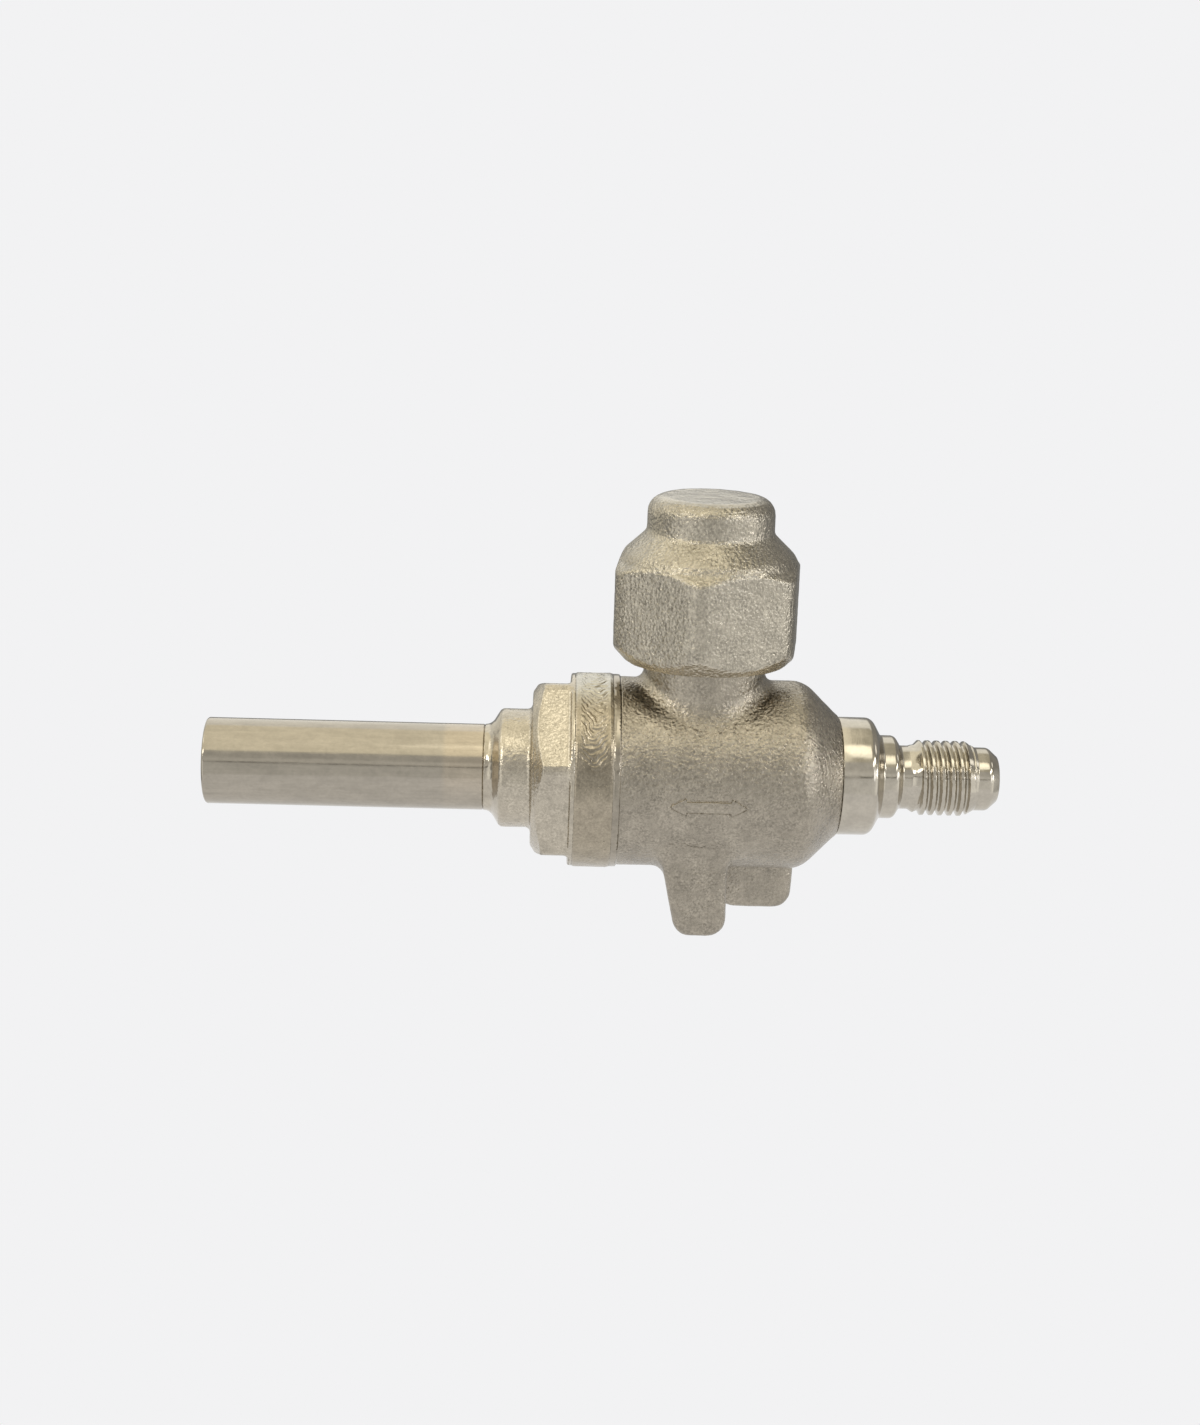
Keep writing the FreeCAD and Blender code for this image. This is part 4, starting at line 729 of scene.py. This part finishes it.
# ------------------------------------------------------------------ floor
def floor():
    mesh = bpy.data.meshes.new("floor")
    ring = 96
    verts = [(-0.02, 0.0, -0.00003)] + [(-0.02 + 0.11 * math.cos(2 * math.pi * i / ring), 0.09 * math.sin(2 * math.pi * i / ring), -0.00003) for i in range(ring)]
    mesh.from_pydata(verts, [], [(0, 1 + i, 1 + (i + 1) % ring) for i in range(ring)])
    obj = link(mesh, "floor")
    mat = bpy.data.materials.new("pale_floor")
    mat.use_nodes = True
    t = Tree(mat.node_tree)
    glow = t.add("ShaderNodeEmission", {"Color": (0.8879, 0.8879, 0.8963, 1.0), "Strength": 1.0})
    out = t.add("ShaderNodeOutputMaterial")
    t.tree.links.new(glow.outputs[0], out.inputs["Surface"])
    dress(obj, mat)


floor()


# ------------------------------------------------------------------ studio light
def studio():
    """Soft light from all round: a warm ceiling, a pale wall behind, softer greys in front and at the sides."""
    world = bpy.data.worlds.new("studio")
    scene.world = world
    world.use_nodes = True
    t = Tree(world.node_tree)
    way = t.add("ShaderNodeTexCoord").outputs["Generated"]
    split = t.add("ShaderNodeSeparateXYZ", {0: way})
    x, y, z = split.outputs
    # Low band, by the way round from the front: 0.5 is the front, 0 and 1 the back, over 0.5 the right.
    round_ = t.math("ARCTAN2", x, t.math("MULTIPLY", y, -1.0))
    part = t.math("MULTIPLY_ADD", round_, 1 / (2 * math.pi), 0.5)
    low = t.add("ShaderNodeValToRGB", {"Fac": part})
    stops = [(0.0, 0.3), (0.10, 0.3), (0.19, 0.26), (0.25, 0.31), (0.30, 0.92), (0.345, 1.22), (0.385, 1.15), (0.435, 0.7), (0.5, 0.75), (0.56, 0.84), (0.63, 0.9),
             (0.69, 1.12), (0.722, 1.28), (0.76, 0.62), (0.83, 0.36), (0.92, 0.22), (1.0, 0.3)]
    band = low.color_ramp
    band.elements[0].position, band.elements[1].position = stops[0][0], stops[-1][0]
    for place, _ in stops[1:-1]:
        band.elements.new(place)
    for element, (_, level) in zip(band.elements, stops):
        element.color = (level, level, level * 0.985, 1)
    # Ceiling between two straight edges, in front and behind.
    up = t.math("MAXIMUM", z, 0.001)
    ahead = t.math("DIVIDE", y, up)
    side = t.math("DIVIDE", x, up)
    front_edge = t.span(ahead, -1.12, -1.0)
    ceiling = (1.26, 1.19, 0.98)
    wall = (1.24, 1.23, 1.17)
    front = (0.83, 0.82, 0.79)
    dim = (0.36, 0.35, 0.33)
    dim_left = (0.58, 0.57, 0.54)
    behind = t.span(ahead, 0.62, 0.8)
    right_back = t.math("MULTIPLY", t.span(side, 0.4, 0.75), t.span(ahead, -0.7, -0.2))
    left_back = t.math("MULTIPLY", t.span(side, -0.7, -1.3), t.span(ahead, 0.4, 0.8, 0.0, 0.4))
    upper = t.mix(behind, t.tint(ceiling, t.span(side, 0.138, 0.152, 1.0, 0.5)), wall)
    upper = t.mix(right_back, upper, dim)
    upper = t.mix(left_back, upper, dim_left)
    fronts = t.mix(t.math("MULTIPLY", t.span(ahead, -2.6, -1.8), t.span(z, 0.3, 0.36)), front, (0.64, 0.63, 0.6))
    upper = t.mix(front_edge, fronts, upper)
    # A dark edge low in front, where the table meets the room, and at the foot of the wall behind.
    edge_low = t.span(z, 0.2, 0.215)
    lift = t.math("ADD", z, t.span(y, 0.3, 0.7, 0.0, 0.09))
    colour = t.mix(t.span(lift, 0.2, 0.27), low.outputs["Color"], upper)
    line = t.math("MULTIPLY", t.math("MULTIPLY", edge_low, t.span(z, 0.275, 0.26)), t.span(y, -0.35, -0.75))
    colour = t.mix(t.math("MULTIPLY", line, 0.85), colour, (0.2, 0.19, 0.17))
    # Two brighter panels on the right: a tall one in front and a smaller high one.
    def panel(base, direction, near, far, level):
        d = Vector(direction).normalized()
        dot = t.add("ShaderNodeVectorMath", {0: way, 1: tuple(d)}, operation="DOT_PRODUCT").outputs["Value"]
        return t.mix(t.span(dot, math.cos(math.radians(far)), math.cos(math.radians(near))), base, level)
    colour = panel(colour, (0.72, -0.62, 0.22), 7, 11, (2.3, 2.36, 2.5))
    colour = panel(colour, (0.82, 0.08, 0.57), 5, 9, (2.0, 1.98, 1.9))
    colour = panel(colour, (-0.76, 0.05, 0.64), 6, 11, (2.2, 2.16, 2.0))
    colour = panel(colour, (0.22, -0.47, 0.85), 6, 11, (2.0, 1.95, 1.7))
    colour = panel(colour, (0.968, -0.16, 0.12), 3, 6, (9.0, 9.0, 9.2))
    colour = panel(colour, (0.75, -0.37, 0.55), 3, 6, (10.0, 9.9, 9.6))
    colour = panel(colour, (-0.72, -0.51, 0.47), 3, 6, (9.0, 8.8, 8.3))
    colour = panel(colour, (0.14, -0.35, 0.93), 6, 12, (2.5, 2.38, 2.02))
    colour = panel(colour, (-0.69, -0.13, 0.71), 4, 9, (2.0, 1.9, 1.65))
    colour = panel(colour, (-0.52, -0.62, 0.58), 3, 6, (7.5, 7.3, 6.9))
    colour = panel(colour, (0.56, -0.6, 0.57), 3, 6, (8.0, 7.9, 7.6))
    colour = panel(colour, (-0.87, 0.48, 0.06), 16, 21, (0.95, 0.92, 0.82))
    colour = panel(colour, (-0.48, 0.87, 0.03), 9, 13, (0.9, 0.87, 0.78))
    lamp = t.add("ShaderNodeBackground", {"Color": colour, "Strength": 1.0})
    backdrop = t.add("ShaderNodeBackground", {"Color": (0.8879, 0.8879, 0.8963, 1.0), "Strength": 1.0})
    seen = t.add("ShaderNodeLightPath").outputs["Is Camera Ray"]
    mix = t.add("ShaderNodeMixShader", {0: seen})
    t.tree.links.new(lamp.outputs[0], mix.inputs[1])
    t.tree.links.new(backdrop.outputs[0], mix.inputs[2])
    out = t.add("ShaderNodeOutputWorld")
    t.tree.links.new(mix.outputs[0], out.inputs["Surface"])
    world.cycles.sampling_method = "MANUAL"
    world.cycles.sample_map_resolution = 512


studio()
scene.view_settings.view_transform = "Standard"
scene.view_settings.look = "None"
scene.view_settings.exposure = 0.0
scene.view_settings.gamma = 1.0

for obj in (body_piece, cap_piece, adapter_piece, weld_piece, tube_piece, port_piece):
    obj.data.calc_loop_triangles()
    print("triangles", obj.name, len(obj.data.loop_triangles))
